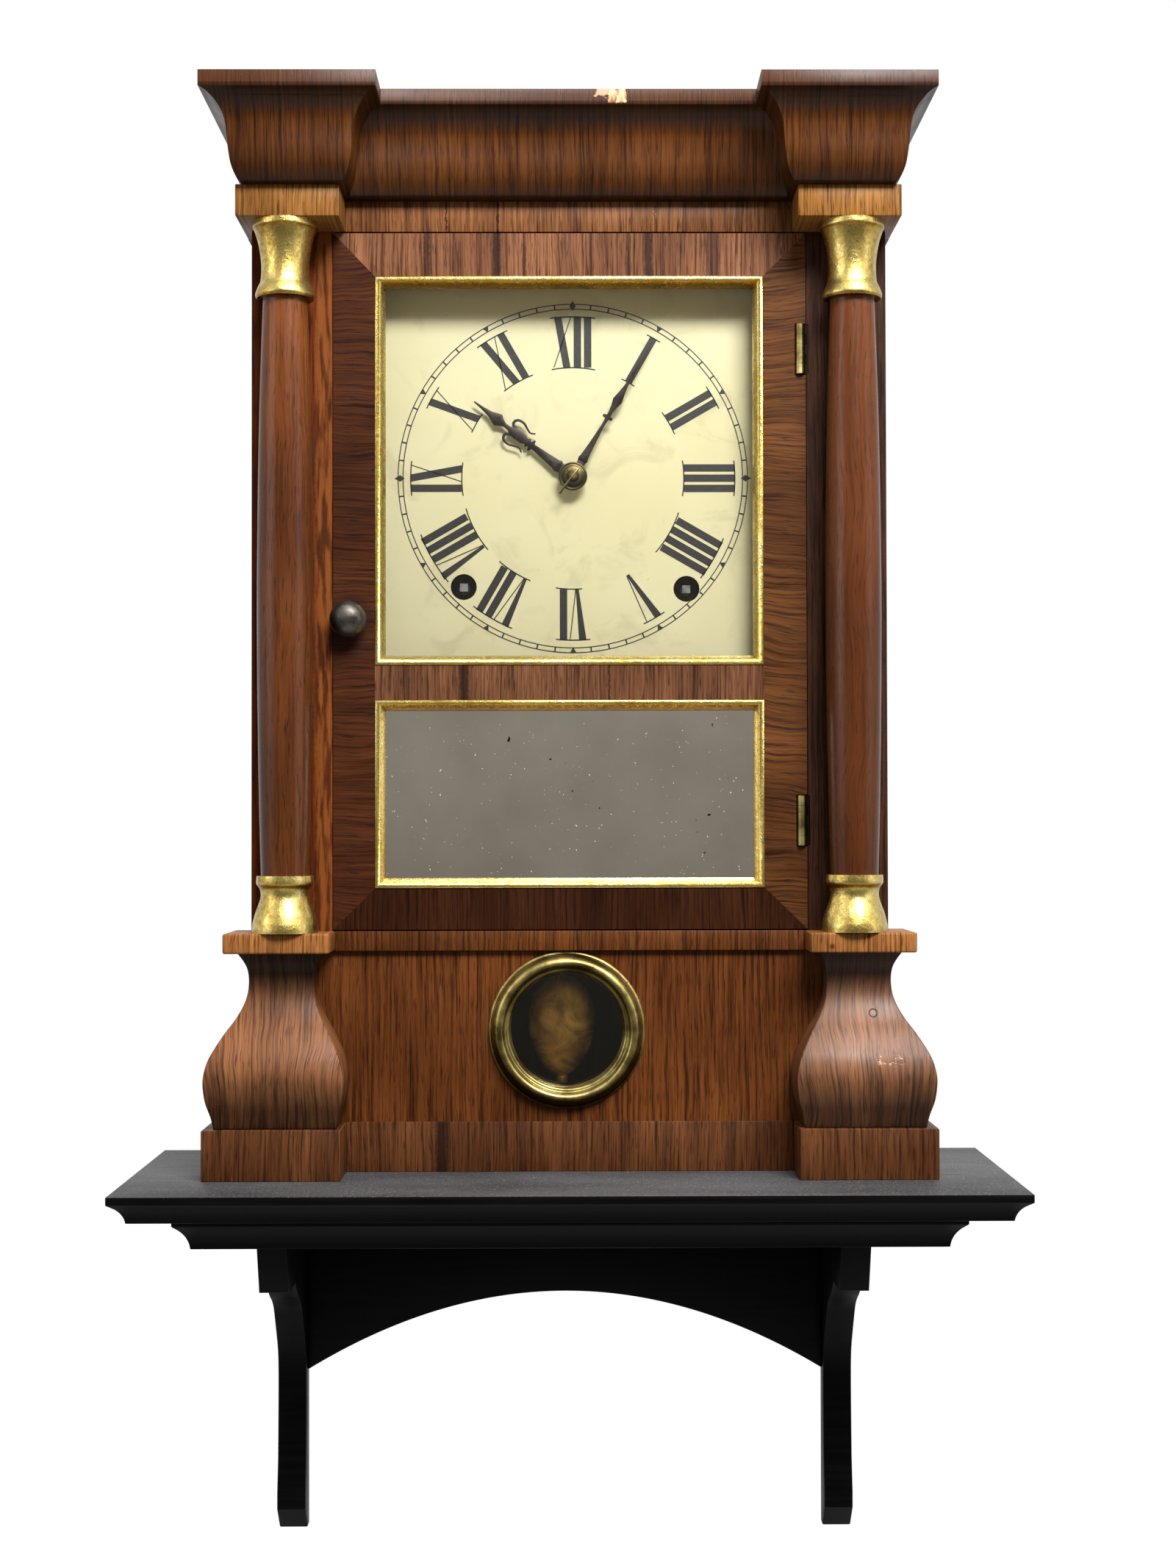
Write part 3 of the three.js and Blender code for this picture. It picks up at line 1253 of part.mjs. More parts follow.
const KEY_BORE = KEY_ARBOR_RADIUS + RUNNING * 2;
function greatWheel(centre, mate) {
  const gap = bearing(centre, mate);
  const body = wheel(centre, GREAT_TOOTH_COUNT, GREAT_TOOTH_SIZE, gap, GREAT_WHEEL_Y, KEY_BORE);
  const hub = discY(
    ...centre,
    KEY_BORE + WHEEL_THICK * 2,
    NOTCHED_WHEEL_Y,
    GREAT_WHEEL_Y + WHEEL_THICK + PINION_OVERLAP,
    ARBOR_STEPS,
  );
  return join(body, hub);
}
const keyHole = (centre) => discY(...centre, KEY_BORE, FRONT_PLATE_Y, BACK_PLATE_Y);
keep("time_great_wheel", cut(greatWheel(timeKey, second), keyHole(timeKey)), BRASS, 1);

function windingArbor(centre) {
  const half = KEY_SQUARE / 2;
  const square = box(
    centre[0] - half,
    centre[0] + half,
    KEY_SQUARE_FRONT_Y,
    KEY_SQUARE_BACK_Y,
    centre[1] - half,
    centre[1] + half,
  );
  const shaft = discY(...centre, KEY_ARBOR_RADIUS, KEY_SQUARE_BACK_Y - GAP, BACK_PLATE_Y - GAP);
  const pivot = discY(...centre, PIVOT_RADIUS, BACK_PLATE_Y - GAP * 2, BACK_PLATE_BACK_Y);
  return join(square, shaft, pivot);
}
keep("time_winding_arbor", windingArbor(timeKey), STEEL, 1);
keep("strike_winding_arbor", windingArbor(strikeKey), STEEL, 1);

const secondBody = join(
  arbor(second, ARBOR_RADIUS),
  wheel(second, SECOND_TOOTH_COUNT, SECOND_TOOTH_SIZE, bearing(second, dialCentre), SECOND_WHEEL_Y),
  lantern(second, GREAT_LEAF_COUNT, GREAT_TOOTH_SIZE, bearing(second, timeKey), GREAT_WHEEL_Y),
);
keep("second_wheel", secondBody, BRASS, 1);

const centreArbor = discY(
  ...dialCentre,
  CENTRE_ARBOR_RADIUS,
  CENTRE_ARBOR_FRONT_Y,
  BACK_PLATE_Y - GAP,
);
const centrePivot = discY(...dialCentre, PIVOT_RADIUS, BACK_PLATE_Y - GAP * 2, BACK_PLATE_BACK_Y);
const centreBody = join(
  centreArbor,
  centrePivot,
  wheel(dialCentre, CENTRE_TOOTH_COUNT, CENTRE_TOOTH_SIZE, bearing(dialCentre, third), CENTRE_WHEEL_Y),
  spur(
    dialCentre,
    CENTRE_LEAF_COUNT,
    SECOND_TOOTH_SIZE,
    bearing(dialCentre, second),
    SECOND_WHEEL_Y - GAP,
    SECOND_WHEEL_Y + WHEEL_THICK + GAP,
  ),
  spur(
    dialCentre,
    CANNON_TOOTH_COUNT,
    CANNON_TOOTH_SIZE,
    bearing(dialCentre, minuteWheelPlace),
    MINUTE_WHEEL_Y - GAP / 2,
    MINUTE_WHEEL_Y + WHEEL_THICK + GAP / 2,
  ),
);
keep("center_wheel", centreBody, BRASS, 1);

const thirdBody = join(
  arbor(third, ARBOR_RADIUS),
  wheel(third, THIRD_TOOTH_COUNT, THIRD_TOOTH_SIZE, bearing(third, escape), THIRD_WHEEL_Y),
  lantern(third, TRAIN_LEAF_COUNT, CENTRE_TOOTH_SIZE, bearing(third, dialCentre), CENTRE_WHEEL_Y),
);
keep("third_wheel", thirdBody, BRASS, 1);

const escapeOutline = [];
for (let i = 0; i < ESCAPE_TOOTH_COUNT; i += 1) {
  const pitch = TURN / ESCAPE_TOOTH_COUNT;
  escapeOutline.push(polar(escape, ESCAPE_RADIUS, pitch * i));
  escapeOutline.push(polar(escape, ESCAPE_RADIUS - ESCAPE_DEPTH, pitch * (i + 1 / 4)));
  escapeOutline.push(polar(escape, ESCAPE_RADIUS - ESCAPE_DEPTH, pitch * (i + 2 / 3)));
}
const escapeHoles = crossings(
  escape,
  (ESCAPE_RADIUS - ESCAPE_DEPTH) * CROSSING_RIM_SHARE,
  ESCAPE_RADIUS * CROSSING_HUB_SHARE,
);
const escapeBody = join(
  arbor(escape, ARBOR_RADIUS),
  slabY(escapeOutline, ESCAPE_WHEEL_Y, ESCAPE_WHEEL_Y + WHEEL_THICK, escapeHoles),
  lantern(escape, TRAIN_LEAF_COUNT, THIRD_TOOTH_SIZE, bearing(escape, third), THIRD_WHEEL_Y),
);
keep("escape_wheel", escapeBody, BRASS, 1);

// Motion work
const HOUR_TOOTH_SIZE = (minuteReach * 2) / (MINUTE_LEAF_COUNT + HOUR_TOOTH_COUNT);
const towardsMinute = bearing(dialCentre, minuteWheelPlace);
const hourOutline = toothedOutline(dialCentre, HOUR_TOOTH_COUNT, HOUR_TOOTH_SIZE, towardsMinute);
const hourBody = join(
  slabY(hourOutline, HOUR_WHEEL_Y, HOUR_WHEEL_Y + WHEEL_THICK),
  discY(...dialCentre, HOUR_PIPE_RADIUS, HOUR_PIPE_FRONT_Y, HOUR_WHEEL_Y + WHEEL_THICK),
);
const hourBore = discY(
  ...dialCentre,
  HOUR_PIPE_BORE,
  HOUR_PIPE_FRONT_Y - GAP,
  HOUR_WHEEL_Y + WHEEL_THICK + GAP,
);
keep("hour_wheel", cut(hourBody, hourBore), BRASS, 1);

const minuteOutline = toothedOutline(
  minuteWheelPlace,
  MINUTE_WHEEL_TOOTH_COUNT,
  CANNON_TOOTH_SIZE,
  bearing(minuteWheelPlace, dialCentre),
);
const MINUTE_BACK_Y = MINUTE_WHEEL_Y + WHEEL_THICK;
const minuteBody = join(
  slabY(minuteOutline, MINUTE_WHEEL_Y, MINUTE_BACK_Y),
  spur(
    minuteWheelPlace,
    MINUTE_LEAF_COUNT,
    HOUR_TOOTH_SIZE,
    bearing(minuteWheelPlace, dialCentre),
    HOUR_WHEEL_Y - GAP,
    MINUTE_WHEEL_Y,
  ),
);
const minuteBore = discY(...minuteWheelPlace, ARBOR_RADIUS + RUNNING, FRONT_PLATE_Y, MINUTE_BACK_Y + GAP);
keep("minute_wheel", cut(minuteBody, minuteBore), BRASS, 1);

// Strike train
const notches = [];
for (let i = 0; i < NOTCH_COUNT; i += 1) {
  const pitch = TURN / NOTCH_COUNT;
  const deep = NOTCHED_WHEEL_RADIUS - NOTCH_DEPTH;
  const run = pitch * (1 / 5);
  notches.push(polar(strikeKey, NOTCHED_WHEEL_RADIUS, pitch * i));
  notches.push(polar(strikeKey, NOTCHED_WHEEL_RADIUS, pitch * i + pitch / 2));
  notches.push(polar(strikeKey, NOTCHED_WHEEL_RADIUS, pitch * (i + 1) - run));
  notches.push(polar(strikeKey, deep, pitch * (i + 1) - run));
  notches.push(polar(strikeKey, deep, pitch * (i + 1)));
}
const countWheel = slabY(notches, NOTCHED_WHEEL_Y, NOTCHED_WHEEL_Y + WHEEL_THICK);
const strikeGreat = join(greatWheel(strikeKey, pinWheelPlace), countWheel);
keep("strike_great_wheel", cut(strikeGreat, keyHole(strikeKey)), BRASS, 1);

const PIN_WHEEL_Y = SECOND_WHEEL_Y;
const liftPins = [];
for (let i = 0; i < LIFT_PIN_COUNT; i += 1) {
  const [x, z] = polar(pinWheelPlace, LIFT_PIN_REACH, (TURN * (i + 1 / 2)) / LIFT_PIN_COUNT);
  const backY = PIN_WHEEL_Y + WHEEL_THICK / 2;
  liftPins.push(discY(x, z, LIFT_PIN_RADIUS, LIFT_PIN_FRONT_Y, backY, TRUNDLE_STEPS));
}
const pinWheelDisc = slabY(
  toothedOutline(
    pinWheelPlace,
    PIN_WHEEL_TOOTH_COUNT,
    PIN_WHEEL_TOOTH_SIZE,
    bearing(pinWheelPlace, flyPlace),
  ),
  PIN_WHEEL_Y,
  PIN_WHEEL_Y + WHEEL_THICK,
);
const pinWheelBody = join(
  arbor(pinWheelPlace, ARBOR_RADIUS),
  pinWheelDisc,
  liftPins,
  lantern(
    pinWheelPlace,
    GREAT_LEAF_COUNT,
    GREAT_TOOTH_SIZE,
    bearing(pinWheelPlace, strikeKey),
    GREAT_WHEEL_Y,
  ),
);
keep("strike_pin_wheel", pinWheelBody, BRASS, 1);

const flyBlade = box(
  flyPlace[0] - FLY_BLADE_LENGTH / 2,
  flyPlace[0] + FLY_BLADE_LENGTH / 2,
  FLY_FRONT_Y,
  FLY_BACK_Y,
  flyPlace[1] - FLY_BLADE_THICK / 2,
  flyPlace[1] + FLY_BLADE_THICK / 2,
);
const flyPins = lantern(
  flyPlace,
  TRAIN_LEAF_COUNT,
  PIN_WHEEL_TOOTH_SIZE,
  bearing(flyPlace, pinWheelPlace),
  PIN_WHEEL_Y - GAP,
);
const flyBody = join(arbor(flyPlace, ARBOR_RADIUS), flyBlade, flyPins);
const behindPlate = box(
  flyPlace[0] - SEAT_WIDTH,
  flyPlace[0] + SEAT_WIDTH,
  BACK_PLATE_Y - GAP,
  BACK_PLATE_Y + PLATE_THICK * 2,
  flyPlace[1] - SEAT_WIDTH,
  flyPlace[1] + SEAT_WIDTH,
);
const flyPivot = discY(...flyPlace, PIVOT_RADIUS, BACK_PLATE_Y - GAP * 2, BACK_PLATE_BACK_Y);
keep("fly", join(cut(flyBody, behindPlate), flyPivot), BRASS, 1);

// Gong and hammer
function gongBody() {
  const steps = GONG_TURN_COUNT * GONG_STEPS;
  const points = [];
  const start = GONG_BLOCK_RADIUS - GONG_WIRE_RADIUS * 2;
  for (let i = 0; i <= steps; i += 1) {
    const share = i / steps;
    const radius = start + (GONG_RADIUS - start) * share;
    const [x, z] = polar([GONG_X, GONG_Z], radius, Math.PI - GONG_TURN_COUNT * TURN * (1 - share));
    points.push(new THREE.Vector3(x, GONG_Y, z));
  }
  const path = new THREE.CatmullRomCurve3(points);
  const tube = new THREE.TubeGeometry(path, steps, GONG_WIRE_RADIUS, TRUNDLE_STEPS);
  const positions = tube.toNonIndexed().getAttribute("position");
  const faces = Array.from(positions.array);
  // The tube is open at its ends, so each end gets a fan of faces
  const ringOf = (row) => {
    const ring = [];
    for (let k = 0; k < TRUNDLE_STEPS; k += 1) {
      const index = row * (TRUNDLE_STEPS + 1) + k;
      ring.push(new THREE.Vector3().fromBufferAttribute(tube.getAttribute("position"), index));
    }
    return ring;
  };
  const fan = (ring, flip) => {
    for (let k = 1; k + 1 < ring.length; k += 1) {
      const order = flip ? [ring[0], ring[k + 1], ring[k]] : [ring[0], ring[k], ring[k + 1]];
      order.forEach((p) => faces.push(p.x, p.y, p.z));
    }
  };
  fan(ringOf(0), false);
  fan(ringOf(steps), true);
  const geometry = new THREE.BufferGeometry();
  geometry.setAttribute("position", new THREE.Float32BufferAttribute(faces, 3));
  const block = discY(GONG_X, GONG_Z, GONG_BLOCK_RADIUS, GONG_Y - GONG_WIRE_RADIUS * 2, CASE_BACK_Y);
  return join(solid(geometry), block);
}
keep("gong", gongBody(), IRON, 1);

const headRight = GONG_X - GONG_RADIUS - GONG_WIRE_RADIUS - HAMMER_CLEAR;
const headMiddle = headRight - HAMMER_HEAD_LENGTH / 2;
const hammerHead = wire(
  [headRight - HAMMER_HEAD_LENGTH, GONG_Y, GONG_Z],
  [headRight, GONG_Y, GONG_Z],
  HAMMER_HEAD_RADIUS,
  ARBOR_STEPS,
);
const hammerWire = wire([hammer[0], GONG_Y, hammer[1]], [headMiddle, GONG_Y, GONG_Z], HAMMER_WIRE_RADIUS);
keep("strike_hammer", join(arbor(hammer, ARBOR_RADIUS), hammerWire, hammerHead), STEEL, 1);

// Plates
const plateOutline = [
  [DIAL_X - PLATE_HALF_WIDTH, DIAL_Z + PLATE_BOTTOM],
  [DIAL_X + PLATE_HALF_WIDTH, DIAL_Z + PLATE_BOTTOM],
  [DIAL_X + PLATE_HALF_WIDTH, DIAL_Z + PLATE_TOP],
  [DIAL_X - PLATE_HALF_WIDTH, DIAL_Z + PLATE_TOP],
];
const pivotPlaces = [second, third, escape, pinWheelPlace, flyPlace, hammer];
const pivotHole = (place) => circle(...place, PIVOT_RADIUS + RUNNING, ARBOR_STEPS);
const frontHoles = [
  ...pivotPlaces.map(pivotHole),
  ...[timeKey, strikeKey].map((place) => circle(...place, KEY_BORE, ARBOR_STEPS)),
  circle(...dialCentre, HOUR_PIPE_RADIUS + RUNNING * 2, ARBOR_STEPS),
  circle(...verge, ARBOR_RADIUS + RUNNING, ARBOR_STEPS),
];
const backHoles = [...pivotPlaces, timeKey, strikeKey, dialCentre].map(pivotHole);
const motionPost = discY(...minuteWheelPlace, ARBOR_RADIUS, FRONT_PLATE_Y, MINUTE_BACK_Y + GAP);
const hangerZ = verge[1] + HANGER_BOTTOM;
const hangerArm = box(
  verge[0] - HANGER_HALF_WIDTH,
  verge[0] + HANGER_HALF_WIDTH,
  HANGER_FRONT_Y,
  FRONT_PLATE_Y,
  hangerZ,
  hangerZ + HANGER_HEIGHT,
);
const hangerDrop = box(
  verge[0] - HANGER_HALF_WIDTH,
  verge[0] + HANGER_HALF_WIDTH,
  HANGER_FRONT_Y,
  HANGER_DROP_BACK_Y,
  verge[1] - HANGER_HALF_WIDTH,
  hangerZ + HANGER_HEIGHT,
);
const hangerPin = discY(...verge, HANGER_PIN_RADIUS, HANGER_FRONT_Y, HANGER_PIN_BACK_Y);
const pillarHoles = PILLARS.map((place) => circle(...at(place), PILLAR_TENON_RADIUS, ARBOR_STEPS));
const frontPlate = slabY(plateOutline, FRONT_PLATE_Y, FRONT_PLATE_BACK_Y, [...frontHoles, ...pillarHoles]);
keep("front_plate", join(frontPlate, motionPost, hangerArm, hangerDrop, hangerPin), BRASS, 1);

const pillars = PILLARS.flatMap((place) => [
  discY(...at(place), PILLAR_RADIUS, FRONT_PLATE_BACK_Y, BACK_PLATE_Y),
  discY(...at(place), PILLAR_TENON_RADIUS, FRONT_PLATE_Y - PILLAR_TENON_PROUD, BACK_PLATE_Y),
]);
const backPlate = slabY(plateOutline, BACK_PLATE_Y, BACK_PLATE_BACK_Y, backHoles);
keep("back_plate", join(backPlate, pillars), BRASS, 1);

// Verge with its crutch
const lean = bearing(escape, verge);
const palletAngle = radians(VERGE_SPAN_DEGREES);
const palletRadius = ESCAPE_RADIUS + VERGE_CLEAR;
function vergeSide(side) {
  const foot = polar(escape, palletRadius, lean + palletAngle * side);
  const shoulder = polar(escape, palletRadius + VERGE_STRIP * 2, lean + palletAngle * side);
  const knee = polar(escape, palletRadius + VERGE_STRIP * 2, lean + (palletAngle / 2) * side);
  const kneeIn = polar(escape, palletRadius + VERGE_STRIP, lean + (palletAngle / 2) * side);
  return [foot, shoulder, knee, kneeIn];
}
const leftSide = vergeSide(1);
const rightSide = vergeSide(-1);
const crown = polar(escape, palletRadius + VERGE_STRIP * 3, lean);
const crownIn = polar(escape, palletRadius + VERGE_STRIP, lean);
const vergeOutline = [
  leftSide[0],
  leftSide[3],
  crownIn,
  rightSide[3],
  rightSide[0],
  rightSide[1],
  rightSide[2],
  crown,
  leftSide[2],
  leftSide[1],
];
const vergeStrip = slabY(vergeOutline, ESCAPE_WHEEL_Y - GAP, ESCAPE_WHEEL_Y + WHEEL_THICK + GAP);
const vergeArbor = discY(...verge, ARBOR_RADIUS, VERGE_ARBOR_FRONT_Y, ESCAPE_WHEEL_Y + WHEEL_THICK + GAP);
const vergeHub = discY(
  ...verge,
  ARBOR_RADIUS * 2,
  ESCAPE_WHEEL_Y - GAP,
  ESCAPE_WHEEL_Y + WHEEL_THICK + GAP,
);
const crutchY = VERGE_ARBOR_FRONT_Y + CRUTCH_RADIUS;
const crutchEnd = verge[1] - CRUTCH_LENGTH;
const crutch = wire([verge[0], crutchY, verge[1]], [verge[0], crutchY, crutchEnd], CRUTCH_RADIUS);
const forkCross = box(
  verge[0] - FORK_HALF_GAP - CRUTCH_RADIUS * 2,
  verge[0] + FORK_HALF_GAP + CRUTCH_RADIUS * 2,
  crutchY - CRUTCH_RADIUS,
  crutchY + CRUTCH_RADIUS,
  crutchEnd - CRUTCH_RADIUS,
  crutchEnd + CRUTCH_RADIUS,
);
const prongs = [-1, 1].map((side) => {
  const x = [FORK_HALF_GAP * side, (FORK_HALF_GAP + CRUTCH_RADIUS * 2) * side].sort((a, b) => a - b);
  return box(
    verge[0] + x[0],
    verge[0] + x[1],
    FORK_FRONT_Y,
    crutchY + CRUTCH_RADIUS,
    crutchEnd - CRUTCH_RADIUS,
    crutchEnd + CRUTCH_RADIUS,
  );
});
keep("verge", join(vergeArbor, vergeHub, vergeStrip, crutch, forkCross, prongs), STEEL, 1);

// Pendulum
const BOB_TOP_Z = BOB_Z + BOB_HALF_HEIGHT;
const eye = discY(
  ...verge,
  ROD_EYE_RADIUS,
  ROD_Y - ROD_RADIUS,
  ROD_Y + ROD_RADIUS,
  ARBOR_STEPS,
  ROD_EYE_BORE,
);
const rodTop = verge[1] - (ROD_EYE_BORE + ROD_EYE_RADIUS) / 2;
const rodWire = wire([verge[0], ROD_Y, rodTop], [verge[0], ROD_Y, BOB_TOP_Z], ROD_RADIUS);
keep("pendulum_rod", join(eye, rodWire), BRASS, 1);

const bobGeometry = new THREE.SphereGeometry(1, BOB_STEPS, BOB_STEPS / 2);
bobGeometry.rotateX(Math.PI / 2);
const bobPoints = bobGeometry.getAttribute("position");
for (let i = 0; i < bobPoints.count; i += 1) {
  const z = bobPoints.getZ(i);
  const widen = 1 + BOB_TAPER_SHARE * z;
  bobPoints.setXYZ(
    i,
    verge[0] + bobPoints.getX(i) * BOB_HALF_WIDTH * widen,
    ROD_Y + bobPoints.getY(i) * BOB_HALF_THICK,
    BOB_Z + z * BOB_HALF_HEIGHT,
  );
}
const bobBottom = BOB_Z - BOB_HALF_HEIGHT;
const bobNut = turned(
  [
    [BOB_NUT_RADIUS, bobBottom - BOB_NUT_HEIGHT],
    [BOB_NUT_RADIUS, bobBottom + BOB_NUT_HEIGHT / 2],
  ],
  verge[0],
  ROD_Y,
  ARBOR_STEPS,
);
keep("pendulum_bob", join(solid(bobGeometry), bobNut), BRASS, 1);

clock.position.set(0, -WALL_Y, -ORIGIN_Z);

export default clock;
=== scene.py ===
"""Looks of a column wall clock on its black shelf: veneers, gilding, brass, glass, dial and stage."""

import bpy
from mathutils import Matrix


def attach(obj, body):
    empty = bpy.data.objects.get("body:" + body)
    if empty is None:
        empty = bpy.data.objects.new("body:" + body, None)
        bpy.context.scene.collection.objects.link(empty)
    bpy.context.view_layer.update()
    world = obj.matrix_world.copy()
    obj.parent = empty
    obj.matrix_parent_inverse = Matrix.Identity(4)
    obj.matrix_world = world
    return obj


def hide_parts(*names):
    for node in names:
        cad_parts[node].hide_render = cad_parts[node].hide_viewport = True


bl_info = {
    "name": "Column wall clock",
    "version": (1, 0, 0),
    "blender": (4, 5, 0),
    "location": "View3D > Sidebar > Clock",
    "description": "Builds the finished pieces of a column wall clock on its packed frame",
    "category": "Add Mesh",
}

import math

import bpy
from bpy.props import FloatProperty, FloatVectorProperty, IntProperty, PointerProperty
from bpy.types import Operator, Panel, PropertyGroup
from mathutils import Matrix, Vector

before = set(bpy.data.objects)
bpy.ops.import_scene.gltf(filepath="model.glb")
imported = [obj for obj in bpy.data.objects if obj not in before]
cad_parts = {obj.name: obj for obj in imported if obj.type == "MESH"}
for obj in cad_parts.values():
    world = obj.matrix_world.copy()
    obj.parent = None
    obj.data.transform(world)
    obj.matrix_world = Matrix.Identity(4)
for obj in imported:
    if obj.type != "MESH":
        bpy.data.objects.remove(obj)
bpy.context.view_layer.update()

# The drawing's millimetres start at the door's face, the shelf's top and the clock's middle
MM = 0.001
WALL_Y = 63.0
SHELF_Z = 38.0
SHIFTS = {"x": 0.0, "y": -WALL_Y, "z": SHELF_Z}
AXES = {"Z": "xyz", "Y": "zxy", "X": "yzx"}
TURNS = {
    "Z": Matrix.Identity(4),
    "Y": Matrix(((0, 1, 0, 0), (0, 0, 1, 0), (1, 0, 0, 0), (0, 0, 0, 1))),
    "X": Matrix(((0, 0, 1, 0), (1, 0, 0, 0), (0, 1, 0, 0), (0, 0, 0, 1))),
}

DIAL_X, DIAL_Y, DIAL_Z = 1.4, 18.0, 266.9
PRINT_THICK = 0.06
WINDOW_X, WINDOW_Z = -1.3, 53.7
COLUMN_X, COLUMN_Y = 107.0, -12.7
KNOB_X, KNOB_Z = -84.1, 209.9
BOB_X, BOB_Y, BOB_Z = -3.4, 23.0, 53.7
PLUG_X, PLUG_Z = 113.6, 61.0
SIDES = [("left", -1), ("right", 1)]

# Heights of the members above the shelf, and how far back they reach
PLINTH_TOP = 18.9
LEDGE_SPAN = (84, 91.5)
SHAFT_FOOT, SHAFT_TOP = 112.9, 330.0
FRIEZE_SPAN = (358.85, 370.65)
MEMBERS_BACK = 12

# The door's edges, the half width of its openings, and its rails' heights
DOOR_LEFT, DOOR_RIGHT, OPENING = -90.2, 90.6, 74.3
DOOR_FOOT, MIRROR_FOOT, MIRROR_TOP = 92, 107.7, 179.4
GLASS_FOOT, GLASS_TOP, DOOR_TOP = 192.8, 341.8, 358.3
HINGE_HEIGHTS = (313.7, 133.3)

# The shelf: each board's half width, front, top and thickness, then the brackets and the rail
BOARDS = [("shelf_top_board", 165.0, -59.9, 0.0, 10.3), ("shelf_lower_board", 145.0, -40.0, -10.3, 12.7)]
COVE = 6.0
BOARDS_FOOT = -23
BRACKETS_X, BRACKET_INNER, BRACKET_OUTER = -2.4, 103.8, 115.2
BRACKET_CAP = [(-14.5, BOARDS_FOOT), (-5.7, -44.6)]
BRACKET_FOOT = [(49, -135.5), (49, -141.5), (58, -151)]
SWEEP_FRONT, SWEEP_RUN, SWEEP_DROP = 14, 39, 90.9
APRON_FRONT, ARCH_CROWN, ARCH_DROP, ARCH_STEPS = 57, -56.5, 31.3, 64

# Outlines as shares of each piece's own sizes
SHELF_EDGE = [(0, 0), (0, 0.28), (0.22, 0.36), (0.48, 0.47), (0.74, 0.63), (0.92, 0.82), (1, 1)]
SWEEP = [
    (0, 0), (0.23, 0.07), (0.47, 0.12), (0.6, 0.16), (0.71, 0.22), (0.83, 0.29), (0.95, 0.37), (1, 0.46),
    (1, 0.62), (0.97, 0.85),
]
CORNICE = [
    (0, 0), (0.1, 0.02), (0.2, 0.1), (0.27, 0.19), (0.31, 0.29), (0.34, 0.4), (0.365, 0.53),
    (0.4, 0.64), (0.46, 0.73), (0.56, 0.81), (0.7, 0.88), (0.85, 0.93), (1, 0.955),
]
SCROLL = [
    (0.77, 0), (0.83, 0.07), (0.95, 0.16), (1, 0.26), (0.97, 0.33), (0.88, 0.4), (0.72, 0.47),
    (0.52, 0.545), (0.32, 0.61), (0.15, 0.68), (0.04, 0.75), (0, 0.83), (0.03, 0.9), (0.12, 0.95),
    (0.26, 1),
]
SHAFT = [
    (0.855, 0), (0.92, 0.12), (0.97, 0.27), (1, 0.45), (0.985, 0.6), (0.93, 0.78), (0.85, 0.92),
    (0.79, 1),
]
CAPITAL = [
    (0.88, 0), (0.92, 0.05), (0.85, 0.14), (0.76, 0.23), (0.735, 0.4), (0.76, 0.56), (0.83, 0.73),
    (0.94, 0.88), (1, 0.93), (1, 1),
]
COLUMN_BASE = [
    (1, 0), (1, 0.06), (0.98, 0.16), (0.91, 0.32), (0.81, 0.48), (0.745, 0.6), (0.735, 0.69),
    (0.77, 0.78), (0.85, 0.84), (0.87, 0.9), (0.86, 1),
]
KNOB = [
    (0.42, 0.06), (0.72, 0.16), (0.92, 0.32), (1, 0.52), (0.97, 0.68), (0.8, 0.82), (0.45, 0.9),
    (0.36, 1),
]
BEZEL = [
    (0, 0.1), (0.1, 0.42), (0.26, 0.5), (0.32, 0.86), (0.46, 1), (0.66, 0.92), (0.82, 0.6),
    (0.9, 0.24), (1, 0.16), (1, 0),
]

# Outlines in millimetres: a bead's inset and depth, a hand's reach from the dial's middle and half width
BEAD = [
    (0, 4.6), (0, -0.2), (0.35, -0.52), (1.16, -0.6), (2.0, -0.1), (2.8, 1.0), (3.4, 2.4),
    (3.85, 3.96), (3.85, 4.6),
]
HOUR_BLADE = [
    (6.6, 2.3), (7.6, 2.5), (8.0, 2.1), (13, 1.6), (19.6, 1.05), (19.9, 2.4), (20.7, 2.4), (21.0, 1.2),
    (21.6, 1.2), (21.9, 1.9), (22.5, 1.9), (22.8, 1.1), (24.5, 1.9), (27.5, 2.1), (29.5, 1.7),
    (31.5, 0.9), (33.5, 0.85), (35, 1.5), (36.6, 2.65), (38.2, 2.1), (40.5, 1.2), (44, 0.65), (48.5, 0.25),
]
MINUTE_BLADE = [
    (6.6, 1.7), (8.0, 2.0), (8.4, 1.7), (14, 1.15), (23.4, 0.6), (25.9, 0.75), (26.2, 2.05), (27.1, 2.05),
    (27.4, 0.8), (29, 0.8), (31.5, 1.2), (34.2, 1.95), (37, 1.35), (40.8, 0.7), (50, 0.5), (62, 0.22),
]
SCROLL_ARM = [
    (28.4, 1.4), (30.6, 2.0), (31.2, 3.4), (30.2, 4.8), (27.8, 5.1), (25.6, 4.2), (23.6, 3.6),
    (21.8, 4.6),
]
COLLET_DOME = [
    (1.35, 10.3), (1.9, 10.35), (2.15, 10.7), (2.3, 11.15), (3.4, 11.3), (4.4, 11.75), (4.8, 11.8),
    (5.1, 11.55),
]
HOUR_NUMERALS = ["XII", "I", "II", "III", "IIII", "V", "VI", "VII", "VIII", "IX", "X", "XI"]

